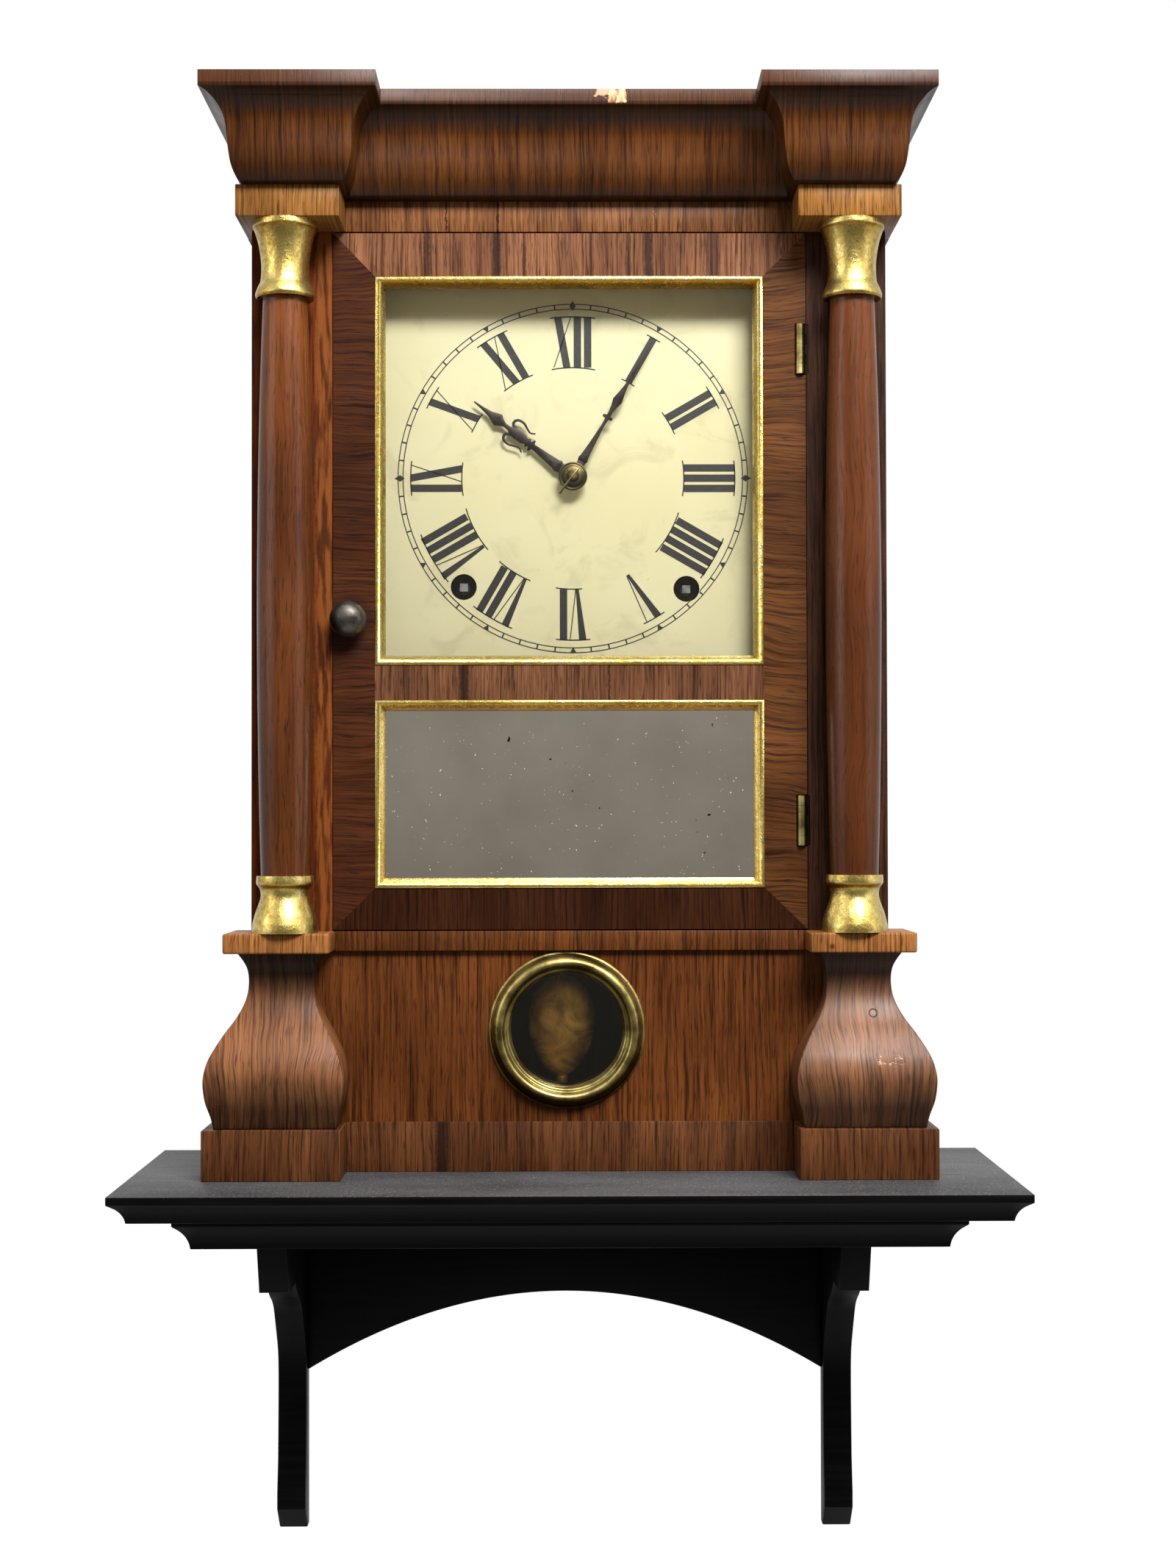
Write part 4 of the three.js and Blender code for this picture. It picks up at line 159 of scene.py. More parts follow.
# The stage in metres and radians: each lamp's place, aim, width, height and watts, then the camera
LAMPS = [
    ("key_lamp", (0.36, -1.0, 1.15), (0, -0.06, 0.25), 0.7, 0.45, 48),
    ("upper_lamp", (0.1, -0.5, 1.7), (0, -0.06, 0.2), 1.2, 0.5, 8),
    ("left_lamp", (-1.4, -0.9, 0.7), (0, -0.06, 0.15), 0.9, 1.0, 8),
    ("right_lamp", (1.5, -0.8, 0.6), (0, -0.06, 0.15), 0.7, 1.0, 4),
]
CAMERA_AT = (0.0001, -0.960, 0.1692)
CAMERA_PAN, CAMERA_TILT, CAMERA_ROLL = 0.00761, 0.01801, 0.0020
LENS = 54.01


def shade(red, green, blue):
    """A colour as it looks on screen, from three numbers up to 255, made linear."""
    linear = [((c / 255 + 0.055) / 1.055) ** 2.4 if c > 10 else c / 255 / 12.92 for c in (red, green, blue)]
    return (*linear, 1.0)


# Working by hand


def clear():
    """Nothing is selected and nothing is open for editing."""
    if bpy.context.object and bpy.context.object.mode != "OBJECT":
        bpy.ops.object.mode_set(mode="OBJECT")
    bpy.ops.object.select_all(action="DESELECT")


def only(*pieces):
    """Just these pieces are selected, the first of them active."""
    clear()
    for piece in pieces:
        piece.select_set(True)
    bpy.context.view_layer.objects.active = pieces[0]
    return pieces[0]


def settle(piece, turn=None):
    """Turns the piece into place and leaves its object unturned at the origin."""
    if turn is not None:
        piece.matrix_world = turn @ piece.matrix_world
    only(piece)
    bpy.ops.object.transform_apply(location=True, rotation=True, scale=True)
    return piece


def course(name, levels, along="Z", sides=4, ring=False):
    """Draws a piece up level by level: each has two spans and a height, in the drawing's millimetres."""
    first, second, third = AXES[along]
    outlines = []
    for (a0, a1), (b0, b1), height in levels:
        across, beside = (a0 + a1) / 2 + SHIFTS[first], (b0 + b1) / 2 + SHIFTS[second]
        middle = Vector((across, beside, height + SHIFTS[third]))
        outlines.append((middle * MM, abs(a1 - a0) * MM, abs(b1 - b0) * MM))
    clear()
    at, wide, deep = outlines[0]
    if sides == 4:
        bpy.ops.mesh.primitive_plane_add(size=1, location=at)
    else:
        bpy.ops.mesh.primitive_circle_add(vertices=sides, radius=0.5, fill_type="NGON", location=at)
    piece = bpy.context.object
    piece.name = name
    piece.data.name = name
    bpy.ops.object.mode_set(mode="EDIT")
    bpy.ops.mesh.select_all(action="SELECT")
    if ring:
        bpy.ops.mesh.delete(type="ONLY_FACE")
        bpy.ops.mesh.select_all(action="SELECT")
    bpy.ops.transform.resize(value=(wide, deep, 1), center_override=at)
    for to, wider, deeper in outlines[1:]:
        bpy.ops.mesh.extrude_region_move(TRANSFORM_OT_translate={"value": to - at})
        bpy.ops.transform.resize(value=(wider / wide, deeper / deep, 1), center_override=to)
        at, wide, deep = to, wider, deeper
    bpy.ops.mesh.select_all(action="SELECT")
    if ring:
        bpy.ops.mesh.remove_doubles(threshold=MM / 1000)
    bpy.ops.mesh.normals_make_consistent(inside=False)
    bpy.ops.object.mode_set(mode="OBJECT")
    return settle(piece, TURNS[along])


def board(name, x, y, z, along="Z", worn=0.35):
    """A planed board between two places on each axis, with its edges eased."""
    spans = {"x": x, "y": y, "z": z}
    first, second, third = AXES[along]
    low, high = spans[third]
    piece = course(name, [(spans[first], spans[second], low), (spans[first], spans[second], high)], along)
    return soften(piece, worn) if worn else piece


def disc(name, x, z, profile, sides=64, ring=False):
    """A piece turned on an axis that points at the wall, from radii and depths."""
    return course(name, [((z - r, z + r), (x - r, x + r), y) for r, y in profile], "Y", sides, ring)


def soften(piece, width, segments=2, angle=50):
    """Rounds the sharp edges as wear does."""
    only(piece)
    bevel = piece.modifiers.new("Worn edges", "BEVEL")
    bevel.width = width * MM
    bevel.segments = segments
    bevel.limit_method = "ANGLE"
    bevel.angle_limit = math.radians(angle)
    bpy.ops.object.modifier_apply(modifier=bevel.name)
    return piece


def fit(piece, *tools, how="DIFFERENCE"):
    """Cuts the tools out of the piece, or fuses them with it."""
    for tool in tools:
        only(piece)
        boolean = piece.modifiers.new("Fit", "BOOLEAN")
        boolean.operation = how
        boolean.solver = "EXACT"
        boolean.object = tool
        bpy.ops.object.modifier_apply(modifier=boolean.name)
        bpy.data.objects.remove(tool, do_unlink=True)
    return piece


def glued(name, *pieces):
    """Several finished members as one piece, each keeping its own veneer."""
    piece = only(*pieces)
    if len(pieces) > 1:
        bpy.ops.object.join()
    piece.name = name
    piece.data.name = name
    return piece


def copied(piece, turn):
    """A copy with a mesh of its own, turned into place."""
    twin = piece.copy()
    twin.data = piece.data.copy()
    bpy.context.collection.objects.link(twin)
    return settle(twin, turn)


def veneered(piece, finish):
    """Gives the piece one finish."""
    piece.data.materials.clear()
    piece.data.materials.append(finish)
    return piece


def railed(span, inner, outer, rail_front, block_front, rail_veneer, block_veneer, rounding, segments=2):
    """A rail across the case's front and a block at each end of it, between two heights."""
    rail = board("rail", (-inner, inner), (rail_front, MEMBERS_BACK), span, worn=sizes().edge_wear / MM)
    members = [veneered(rail, rail_veneer)]
    for side in (-1, 1):
        block = board("block", spread(side, inner, outer), (block_front, MEMBERS_BACK), span, worn=0)
        members.append(veneered(soften(block, rounding, segments), block_veneer))
    return members


def ready(piece, body, slot, *nodes, angle=35):
    """Smooths the piece, hangs it on its body and lets it stand for its nodes."""
    only(piece)
    bpy.ops.object.shade_smooth_by_angle(angle=math.radians(angle))
    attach(piece, body)
    if nodes:
        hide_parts(*nodes)
    return piece


def eased(points, steps=4):
    """A smooth run through the points, with more of them between each two."""
    run = []
    for i in range(len(points) - 1):
        near = [points[max(i - 1, 0)], points[i], points[i + 1], points[min(i + 2, len(points) - 1)]]
        for k in range(steps):
            t = k / steps
            point = []
            for a, b, c, d in zip(*near):
                bent = (2 * a - 5 * b + 4 * c - d) * t**2
                point.append((2 * b + (c - a) * t + bent + (3 * b - a - 3 * c + d) * t**3) / 2)
            run.append(tuple(point))
    return run + [tuple(points[-1])]


def spread(side, near, far):
    """The span between two distances from the middle, on one side."""
    return sorted((near * side, far * side))


def about_dial(degrees):
    """A clockwise turn about the dial's middle, as the viewer sees it."""
    middle = Matrix.Translation(Vector((DIAL_X, 0, DIAL_Z + SHELF_Z)) * MM)
    return middle @ Matrix.Rotation(math.radians(degrees), 4, "Y") @ middle.inverted()


# Finishes


class Finish:
    """One material, whose nodes are laid down one after another."""

    def __init__(self, name, **sockets):
        self.material = bpy.data.materials.new(name)
        self.material.use_nodes = True
        self.nodes = self.material.node_tree.nodes
        self.links = self.material.node_tree.links
        self.surface = self.nodes["Principled BSDF"]
        for socket, value in sockets.items():
            self.surface.inputs[socket.replace("_", " ")].default_value = value
        self.points = self.lay("ShaderNodeTexCoord").outputs["Object"]

    def lay(self, kind, settings=None, inputs=None):
        node = self.nodes.new(kind)
        for key, value in (settings or {}).items():
            setattr(node, key, value)
        for key, value in (inputs or {}).items():
            if isinstance(value, bpy.types.NodeSocket):
                self.links.new(value, node.inputs[key])
            else:
                node.inputs[key].default_value = value
        return node

    def noise(self, points, scale, detail=2.0, rough=0.5, bend=0.0):
        inputs = {"Vector": points, "Scale": scale, "Detail": detail, "Roughness": rough, "Distortion": bend}
        return self.lay("ShaderNodeTexNoise", None, inputs).outputs["Fac"]

    def moved(self, points, shift=(0, 0, 0), scale=(1, 1, 1)):
        inputs = {"Vector": points, "Location": shift, "Scale": scale}
        return self.lay("ShaderNodeMapping", None, inputs).outputs["Vector"]

    def sums(self, operation, a, b=0.0, c=0.0):
        return self.lay("ShaderNodeMath", {"operation": operation}, {0: a, 1: b, 2: c}).outputs[0]

    def times(self, a, b):
        return self.sums("MULTIPLY", a, b)

    def scaled(self, a, b, c):
        """The first times the second, plus the third."""
        return self.sums("MULTIPLY_ADD", a, b, c)

    def between(self, value, low, high):
        inputs = {"Value": value, "From Min": low, "From Max": high}
        return self.lay("ShaderNodeMapRange", {"interpolation_type": "SMOOTHSTEP"}, inputs).outputs["Result"]

    def tones(self, value, *stops):
        node = self.lay("ShaderNodeValToRGB", None, {"Fac": value})
        while len(node.color_ramp.elements) < len(stops):
            node.color_ramp.elements.new(0.5)
        for element, (position, colour) in zip(node.color_ramp.elements, stops):
            element.position = position
            element.color = colour
        return node.outputs["Color"]

    def over(self, share, under, upper, blend="MIX"):
        settings = {"data_type": "RGBA", "blend_type": blend}
        return self.lay("ShaderNodeMix", settings, {0: share, 6: under, 7: upper}).outputs[2]

    def tinted(self, under, share, strength, upper):
        """Lays the upper colour over the lower one in the given places, at the given strength."""
        return self.over(self.times(share, strength), under, upper)

    def split(self, points):
        node = self.lay("ShaderNodeSeparateXYZ", None, {0: points})
        return [node.outputs[i] for i in range(3)]

    def facing(self):
        """Which way the surface faces, on each axis."""
        return self.split(self.lay("ShaderNodeNewGeometry").outputs["Normal"])

    def patch(self, x, z, edge=0.4, jitter=0.0):
        """A soft-edged window on the front, between two places on each axis, in the drawing's millimetres."""
        across, _, up = self.split(self.points)
        if jitter:
            wander = self.noise(self.points, 700, 3)
            across = self.scaled(self.sums("SUBTRACT", wander, 0.5), jitter * MM, across)
            up = self.scaled(self.sums("SUBTRACT", wander, 0.5), jitter * MM, up)
        spans = [(across, x[0] * MM, x[1] * MM), (up, (z[0] + SHELF_Z) * MM, (z[1] + SHELF_Z) * MM)]
        share = None
        for value, low, high in spans:
            inside = self.times(
                self.between(value, low - edge * MM, low + edge * MM),
                self.between(value, high + edge * MM, high - edge * MM),
            )
            share = inside if share is None else self.times(share, inside)
        return share

    def spot(self, x, z, radius, edge=0.2):
        """A round mark on the front."""
        across, _, up = self.split(self.points)
        run = self.sums("SUBTRACT", across, x * MM)
        rise = self.sums("SUBTRACT", up, (z + SHELF_Z) * MM)
        reach = self.sums("SQRT", self.scaled(run, run, self.times(rise, rise)))
        return self.between(reach, (radius + edge) * MM, (radius - edge) * MM)

    def inked(self, colour, z, *streaks):
        """Dark streaks of the figure: each its place across the front, its width and its strength."""
        for x, wide, strength in streaks:
            streak = self.patch((x - wide / 2, x + wide / 2), z, wide / 3, 2.0)
            colour = self.tinted(colour, streak, strength, shade(26, 14, 11))
        return colour

    def darkened_by_height(self, colour, *stops):
        """Darkens by height: each stop has a height in the drawing and the share of light it keeps."""
        low, high = stops[0][0], stops[-1][0]
        ends = {
            "Value": self.split(self.points)[2],
            "From Min": (low + SHELF_Z) * MM,
            "From Max": (high + SHELF_Z) * MM,
        }
        rise = self.lay("ShaderNodeMapRange", None, ends).outputs["Result"]
        shares = [((z - low) / (high - low), (share, share, share, 1)) for z, share in stops]
        return self.over(1.0, colour, self.tones(rise, *shares), "MULTIPLY")

    def colour(self, socket):
        self.links.new(socket, self.surface.inputs["Base Color"])

    def roughness(self, socket):
        self.links.new(socket, self.surface.inputs["Roughness"])

    def dents(self, height, depth, strength=1.0):
        inputs = {"Height": height, "Distance": depth * MM, "Strength": strength}
        bump = self.lay("ShaderNodeBump", None, inputs)
        if self.surface.inputs["Normal"].is_linked:
            self.links.new(self.surface.inputs["Normal"].links[0].from_socket, bump.inputs["Normal"])
        self.links.new(bump.outputs["Normal"], self.surface.inputs["Normal"])


def rosewood(
    name, main, grain="up", ink=0.6, gloss=0.42, shift=0.0, band=75, wave=0.0, depth=0.6, shine=0.06,
    lining=0.85, marks=None,
):
    """Veneer: broad bands, fine lines, ink streaks and open pores along the grain, under old varnish."""
    dark = (main[0] * (1 - 0.5 * depth), main[1] * (1 - 0.55 * depth), main[2] * (1 - 0.5 * depth), 1)
    light = (main[0] * (1 + 0.6 * depth), main[1] * (1 + 0.65 * depth), main[2] * (1 + 0.7 * depth), 1)
    wood = Finish(name, Coat_Weight=0.02, Coat_Roughness=0.25, Specular_IOR_Level=shine)
    across, deep, up = wood.split(wood.points)
    if grain == "up":
        normal = wood.facing()
        side = wood.sums("GREATER_THAN", wood.sums("ABSOLUTE", normal[0]), 0.75)
        lines = wood.lay("ShaderNodeMix", {"data_type": "FLOAT"}, {0: side, 2: across, 3: deep}).outputs[0]
        run = up
    else:
        lines, run = up, across
    sway = wood.noise(wood.moved(wood.points, (shift, 0, shift)), 22, 2)
    lines = wood.scaled(wood.sums("SUBTRACT", sway, 0.5), (3 + wave) * MM, lines)
    vector = wood.lay("ShaderNodeCombineXYZ", None, {0: lines, 1: run, 2: shift}).outputs[0]

    broad = wood.noise(wood.moved(vector, (shift, 0, 0), (1, 0.06, 1)), band, 3, 0.6, 0.15)
    fine = wood.noise(wood.moved(vector, (0, shift, 0), (1, 0.025, 1)), 900, 4, 0.7)
    pores = wood.noise(wood.moved(vector, (0, 0, 0), (1, 0.06, 1)), 1900, 1)
    streaks = wood.noise(wood.moved(vector, (0, 0, shift * 3), (1, 0.05, 1)), 170, 3, 0.6, 0.2)
    cloud = wood.noise(wood.points, 16, 2)

    colour = wood.tones(broad, (0.3, dark), (0.5, main), (0.7, light))
    soft, pale = shade(218, 208, 202), shade(255, 252, 248)
    lined = wood.tones(fine, (0.37, shade(88, 70, 62)), (0.5, soft), (0.62, pale))
    colour = wood.over(lining, colour, lined, "MULTIPLY")
    streaked = wood.times(wood.between(streaks, 0.6, 0.68), ink)
    colour = wood.over(streaked, colour, shade(38, 24, 22))
    open_pores = wood.between(pores, 0.41, 0.31)
    colour = wood.tinted(colour, open_pores, 0.6, shade(24, 14, 11))
    clouded = wood.tones(cloud, (0.3, shade(190, 182, 180)), (0.6, shade(255, 255, 255)))
    colour = wood.over(0.7, colour, clouded, "MULTIPLY")
    if marks:
        colour = marks(wood, colour)
    wood.colour(colour)
    dull = wood.scaled(wood.noise(wood.points, 60, 3), 0.22, gloss - 0.11)
    wood.roughness(dull)
    wood.dents(open_pores, -0.05, 0.5)
    wood.dents(fine, 0.03, 0.3)
    return wood.material


def gilding(name, tone=1.0):
    """Old leaf: bright where rubbed, brown where thin, dark specks of dirt, painted shade on faces that point
    down.
    """
    leaf = Finish(name, Metallic=1.0)
    cloud = leaf.noise(leaf.points, 420, 6, 0.7)
    broad = leaf.noise(leaf.moved(leaf.points, (1.3, 0.4, 0)), 55, 3)
    worn = leaf.sums("ADD", leaf.times(cloud, 0.65), leaf.times(broad, 0.35))
    stops = [(112, 84, 34), (186, 154, 76), (224, 198, 112), (244, 226, 152)]
    stops = [shade(*(c * tone for c in stop)) for stop in stops]
    colour = leaf.tones(worn, (0.3, stops[0]), (0.4, stops[1]), (0.52, stops[2]), (0.66, stops[3]))
    # Painted shade: faces that point down are darkened.
    under = leaf.facing()[2]
    colour = leaf.over(leaf.between(under, -0.1, -0.6), colour, shade(190, 160, 100), "MULTIPLY")
    specks = leaf.between(leaf.noise(leaf.points, 1500, 2), 0.36, 0.3)
    colour = leaf.tinted(colour, specks, 0.7, shade(70, 40, 20))
    leaf.colour(colour)
    leaf.roughness(leaf.scaled(cloud, -0.5, 0.54))
    leaf.dents(cloud, 0.35, 0.6)
    leaf.dents(leaf.noise(leaf.points, 1800, 2), 0.05, 0.35)
    return leaf.material


def aged_brass(name, bright, dull, rough=0.3, marks=None):
    """Brass with an olive skin that is uneven from one place to the next, and painted shade on faces that
    point down.
    """
    brass = Finish(name, Metallic=1.0)
    cloud = brass.noise(brass.points, 90, 4, 0.6)
    colour = brass.tones(cloud, (0.36, dull), (0.62, bright))
    specks = brass.between(brass.noise(brass.points, 1400, 2), 0.34, 0.28)
    colour = brass.over(specks, colour, shade(60, 48, 26))
    # Painted shade: faces that point down are darkened.
    under = brass.facing()[2]
    colour = brass.over(brass.between(under, 0.2, -0.5), colour, shade(120, 108, 84), "MULTIPLY")
    brass.colour(marks(brass, colour) if marks else colour)
    brass.roughness(brass.scaled(cloud, 0.25, rough - 0.1))
    brass.dents(brass.noise(brass.points, 600, 3), 0.03, 0.3)
    return brass.material


def plain_metal(name, bright, dull, rough=0.4, scale=150):
    """Steel, pewter or iron, mottled by age."""
    metal = Finish(name, Metallic=0.9)
    cloud = metal.noise(metal.points, scale, 4, 0.6)
    metal.colour(metal.tones(cloud, (0.38, dull), (0.6, bright)))
    metal.roughness(metal.scaled(cloud, 0.3, rough - 0.12))
    metal.dents(metal.noise(metal.points, 900, 3), 0.04, 0.4)
    return metal.material


def case_pine(name, dark, light, shift=0.0):
    """Plain softwood of the hidden carcass, with soft growth lines and dark patches, partly soot and partly
    painted shade.
    """
    pine = Finish(name, Roughness=0.7)
    lines = pine.noise(pine.moved(pine.points, (shift, 0, 0), (1, 0.4, 0.04)), 150, 3, 0.6)
    colour = pine.tones(lines, (0.35, dark), (0.62, light))
    # Dark patches: partly soot, partly painted shade inside the case.
    soot_and_shade = pine.between(pine.noise(pine.points, 14, 3), 0.35, 0.7)
    pine.colour(pine.tinted(colour, soot_and_shade, 0.5, shade(52, 38, 26)))
    pine.dents(lines, 0.08, 0.4)
    return pine.material


def black_paint(name):
    """Satin black over softwood, greyed on what faces up by dust and by a painted sheen of light from above.
    """
    paint = Finish(name, Specular_IOR_Level=0.05)
    brushed = paint.noise(paint.moved(paint.points, scale=(0.05, 1, 1)), 500, 3)
    colour = paint.tones(brushed, (0.35, shade(2, 2, 2)), (0.65, shade(6, 6, 6)))
    normal = paint.facing()
    # Dust and painted sheen: faces that point up are greyed.
    dust_and_sheen = paint.between(normal[2], 0.55, 0.95)
    motes = paint.between(paint.noise(paint.points, 900, 4, 0.7), 0.3, 0.75)
    smear = paint.between(paint.noise(paint.moved(paint.points, scale=(0.4, 1, 1)), 28, 3), 0.2, 0.8)
    amount = paint.scaled(motes, 0.2, paint.scaled(smear, 0.2, 0.06))
    colour = paint.tinted(colour, dust_and_sheen, amount, shade(122, 120, 122))
    specks = paint.between(paint.noise(paint.points, 2200, 1), 0.73, 0.78)
    colour = paint.tinted(colour, specks, dust_and_sheen, shade(205, 200, 192))
    paint.colour(colour)
    paint.roughness(paint.scaled(brushed, 0.2, 0.36))
    paint.dents(brushed, 0.05, 0.35)
    paint.dents(paint.noise(paint.points, 60, 3), 0.25, 0.3)
    return paint.material


def dial_paint(name, cream):
    """Cream paint on zinc, yellowed in places, with faint creases, fly specks, and painted shade with a warm
    reflection of the gilt bead along its top.
    """
    paint = Finish(name, Specular_IOR_Level=0.3)
    broad = paint.noise(paint.points, 14, 3)
    yellowed = (cream[0] * 0.94, cream[1] * 0.92, cream[2] * 0.84, 1)
    colour = paint.tones(broad, (0.35, yellowed), (0.6, cream))
    rubbed = paint.between(paint.noise(paint.moved(paint.points, (0.2, 0, 0)), 45, 5, 0.62, 1.2), 0.5, 0.7)
    colour = paint.tinted(colour, rubbed, 0.35, shade(184, 172, 132))
    specks = paint.between(paint.noise(paint.points, 800, 1), 0.78, 0.82)
    colour = paint.tinted(colour, specks, 0.6, shade(96, 80, 52))
    # Painted shade and a warm reflection of the gilt bead along the dial's top.
    shaded = paint.patch((-80, 80), (331, 350), 1.5, 2.0)
    colour = paint.tinted(colour, shaded, 0.5, shade(196, 164, 104))
    paint.colour(colour)
    paint.roughness(paint.scaled(broad, 0.2, 0.38))
    paint.dents(paint.noise(paint.points, 320, 3), 0.03, 0.25)
    return paint.material


def dial_ink(name):
    """Black of the printed figures, a little worn."""
    ink = Finish(name, Roughness=0.45)
    worn = ink.noise(ink.points, 900, 3)
    ink.colour(ink.tones(worn, (0.3, shade(40, 37, 32)), (0.5, shade(20, 19, 17))))
    return ink.material


def pane_glass(name, tint, haze=0.02):
    """Old thin glass: clear face on, mirror-like at a slant, with a slight wave and some dust."""
    glass = Finish(name, Metallic=1.0, Roughness=haze, Base_Color=tint)
    dust = glass.between(glass.noise(glass.points, 1500, 2), 0.76, 0.8)
    glass.dents(glass.noise(glass.points, 26, 2), 0.12, 0.25)
    output = glass.nodes["Material Output"]
    clear_part = glass.lay("ShaderNodeBsdfTransparent")
    rim = glass.lay("ShaderNodeFresnel", None, {"IOR": 1.4}).outputs["Fac"]
    share = glass.scaled(dust, 0.25, rim)
    mix = glass.lay("ShaderNodeMixShader", None, {0: share})
    glass.links.new(clear_part.outputs[0], mix.inputs[1])
    glass.links.new(glass.surface.outputs[0], mix.inputs[2])
    glass.links.new(mix.outputs[0], output.inputs["Surface"])
    return glass.material


def old_mirror(name):
    """Silvering that has dimmed, with small dark and bright specks."""
    mirror = Finish(name, Metallic=1.0)
    dim = mirror.noise(mirror.points, 30, 4)
    colour = mirror.tones(dim, (0.3, shade(214, 206, 196)), (0.65, shade(232, 226, 216)))
    specks = mirror.between(mirror.noise(mirror.points, 900, 2), 0.72, 0.76)
    spots = mirror.between(mirror.noise(mirror.moved(mirror.points, (0.5, 0, 0)), 320, 2), 0.75, 0.78)
    colour = mirror.over(specks, colour, shade(235, 232, 224))
    mirror.colour(mirror.over(spots, colour, shade(60, 52, 44)))
    mirror.roughness(mirror.scaled(specks, 0.4, 0.035))
    mirror.dents(mirror.noise(mirror.points, 18, 2), 0.1, 0.2)
    return mirror.material


# Settings that a user would change


def length_setting(name, what, value):
    return FloatProperty(name=name, description=what, default=value, min=0, unit="LENGTH", precision=5)


def tone_setting(name, what, *tone):
    return FloatVectorProperty(
        name=name, description=what, subtype="COLOR", size=4, default=shade(*tone), min=0, max=1,
    )


class ClockSizes(PropertyGroup):
    edge_wear: length_setting("Edge wear", "Rounding of the veneered edges", 0.00035)
    edge_wear_paint: length_setting("Shelf edge wear", "Rounding of the painted edges", 0.0006)
    minute_ring: length_setting("Minute ring", "Outer radius of the printed minute ring", 0.0681)
    minute_ring_width: length_setting("Minute ring width", "Gap between the two printed rings", 0.0019)
    numeral_outer: length_setting("Numeral top", "Radius that the numerals' tops reach", 0.0632)
    numeral_inner: length_setting("Numeral foot", "Radius that the numerals' feet reach", 0.0433)
    thick_stroke: length_setting("Thick stroke", "Width of a numeral's thick strokes", 0.0029)
    thin_stroke: length_setting("Thin stroke", "Width of a numeral's thin strokes and of the rings", 0.0004)
    hour_degrees: FloatProperty(
        name="Hour hand", description="Where the hour hand points, clockwise from twelve",
        default=math.radians(307.6), subtype="ANGLE",
    )
    minute_degrees: FloatProperty(
        name="Minute hand", description="Where the minute hand points, clockwise from twelve",
        default=math.radians(30.5), subtype="ANGLE",
    )
    turning_sides: IntProperty(
        name="Turned sides", description="Facets round each turned column piece", default=72, min=12, max=256,
    )


class ClockColours(PropertyGroup):
    cornice: tone_setting("Cornice", "Main colour of the cornice veneer", 85, 48, 17)
    frieze: tone_setting("Frieze", "Main colour of the frieze rail", 124, 83, 51)
    caps: tone_setting("Column caps", "Main colour of the blocks over the capitals", 134, 92, 44)
    door_rail: tone_setting("Door rails", "Main colour of the upper door rails", 122, 82, 56)
    door_foot: tone_setting("Door foot", "Main colour of the lowest door rail", 50, 25, 9)
    stile_left: tone_setting("Left door stile", "Main colour of the door's left stile", 67, 35, 17)
    stile_right: tone_setting("Right door stile", "Main colour of the door's right stile", 88, 54, 26)
    case_left: tone_setting("Left case stile", "Main colour of the case left of the door", 87, 37, 8)
    case_right: tone_setting("Right case stile", "Main colour of the case right of the door", 61, 38, 25)
    ledge: tone_setting("Ledge", "Main colour of the ledge rail", 90, 52, 23)
    ledge_block: tone_setting("Ledge blocks", "Main colour of the ledge's blocks", 147, 98, 52)
    panel: tone_setting("Base panel", "Main colour of the panel with the window", 96, 54, 23)
    pedestal: tone_setting("Pedestals", "Main colour of the scroll pedestals", 119, 78, 48)
    plinth: tone_setting("Plinth", "Main colour of the plinth", 90, 55, 31)
    column: tone_setting("Columns", "Main colour of the varnished shafts", 113, 62, 27)
    dial: tone_setting("Dial", "Cream of the dial", 227, 220, 178)
    brass_bright: tone_setting("Brass, bright", "Rubbed brass of the bezel", 166, 150, 92)
    brass_dull: tone_setting("Brass, dull", "Tarnished brass of the bezel", 96, 82, 44)


def sizes():
    return bpy.context.scene.clock_sizes


def colours():
    return bpy.context.scene.clock_colours


# The pieces


class CLOCK_OT_shelf(Operator):
    """Black shelf: two moulded boards, an arched rail and two brackets"""

    bl_idname = "clock.shelf"
    bl_label = "Shelf"

    def execute(self, context):
        paint = black_paint("shelf_black_paint")
        wear = sizes().edge_wear_paint / MM
        edge = SHELF_EDGE[:2] + eased(SHELF_EDGE[1:], 4)[1:]
        for name, half, front, top, thick in BOARDS:
            levels = []
            for inset, drop in edge:
                in_by = COVE * inset
                levels.append(((-half + in_by, half - in_by), (front + in_by, WALL_Y), top - thick * drop))
            piece = soften(course(name + "_moulded", levels), wear)
            ready(veneered(piece, paint), "case", "black_paint", name)

        foot = BRACKET_CAP[1][1]
        sweep = [(SWEEP_FRONT + SWEEP_RUN * run, foot - SWEEP_DROP * drop) for run, drop in eased(SWEEP, 4)]
        front = BRACKET_CAP + sweep + BRACKET_FOOT
        for name, side in SIDES:
            span = sorted((BRACKETS_X + BRACKET_INNER * side, BRACKETS_X + BRACKET_OUTER * side))
            leg = course("shelf_bracket_" + name + "_swept", [(span, (y, WALL_Y), z) for y, z in front])
            ready(veneered(soften(leg, wear), paint), "case", "black_paint", "shelf_bracket_" + name)

        arch = []
        for i in range(ARCH_STEPS + 1):
            share = 2 * i / ARCH_STEPS - 1
            rail = (ARCH_CROWN - ARCH_DROP * share**2, BOARDS_FOOT)
            arch.append(((APRON_FRONT, WALL_Y), rail, BRACKETS_X + BRACKET_INNER * share))
        apron = soften(course("shelf_apron_arched", arch, "X"), wear, angle=60)
        ready(veneered(apron, paint), "case", "black_paint", "shelf_apron")
        return {"FINISHED"}


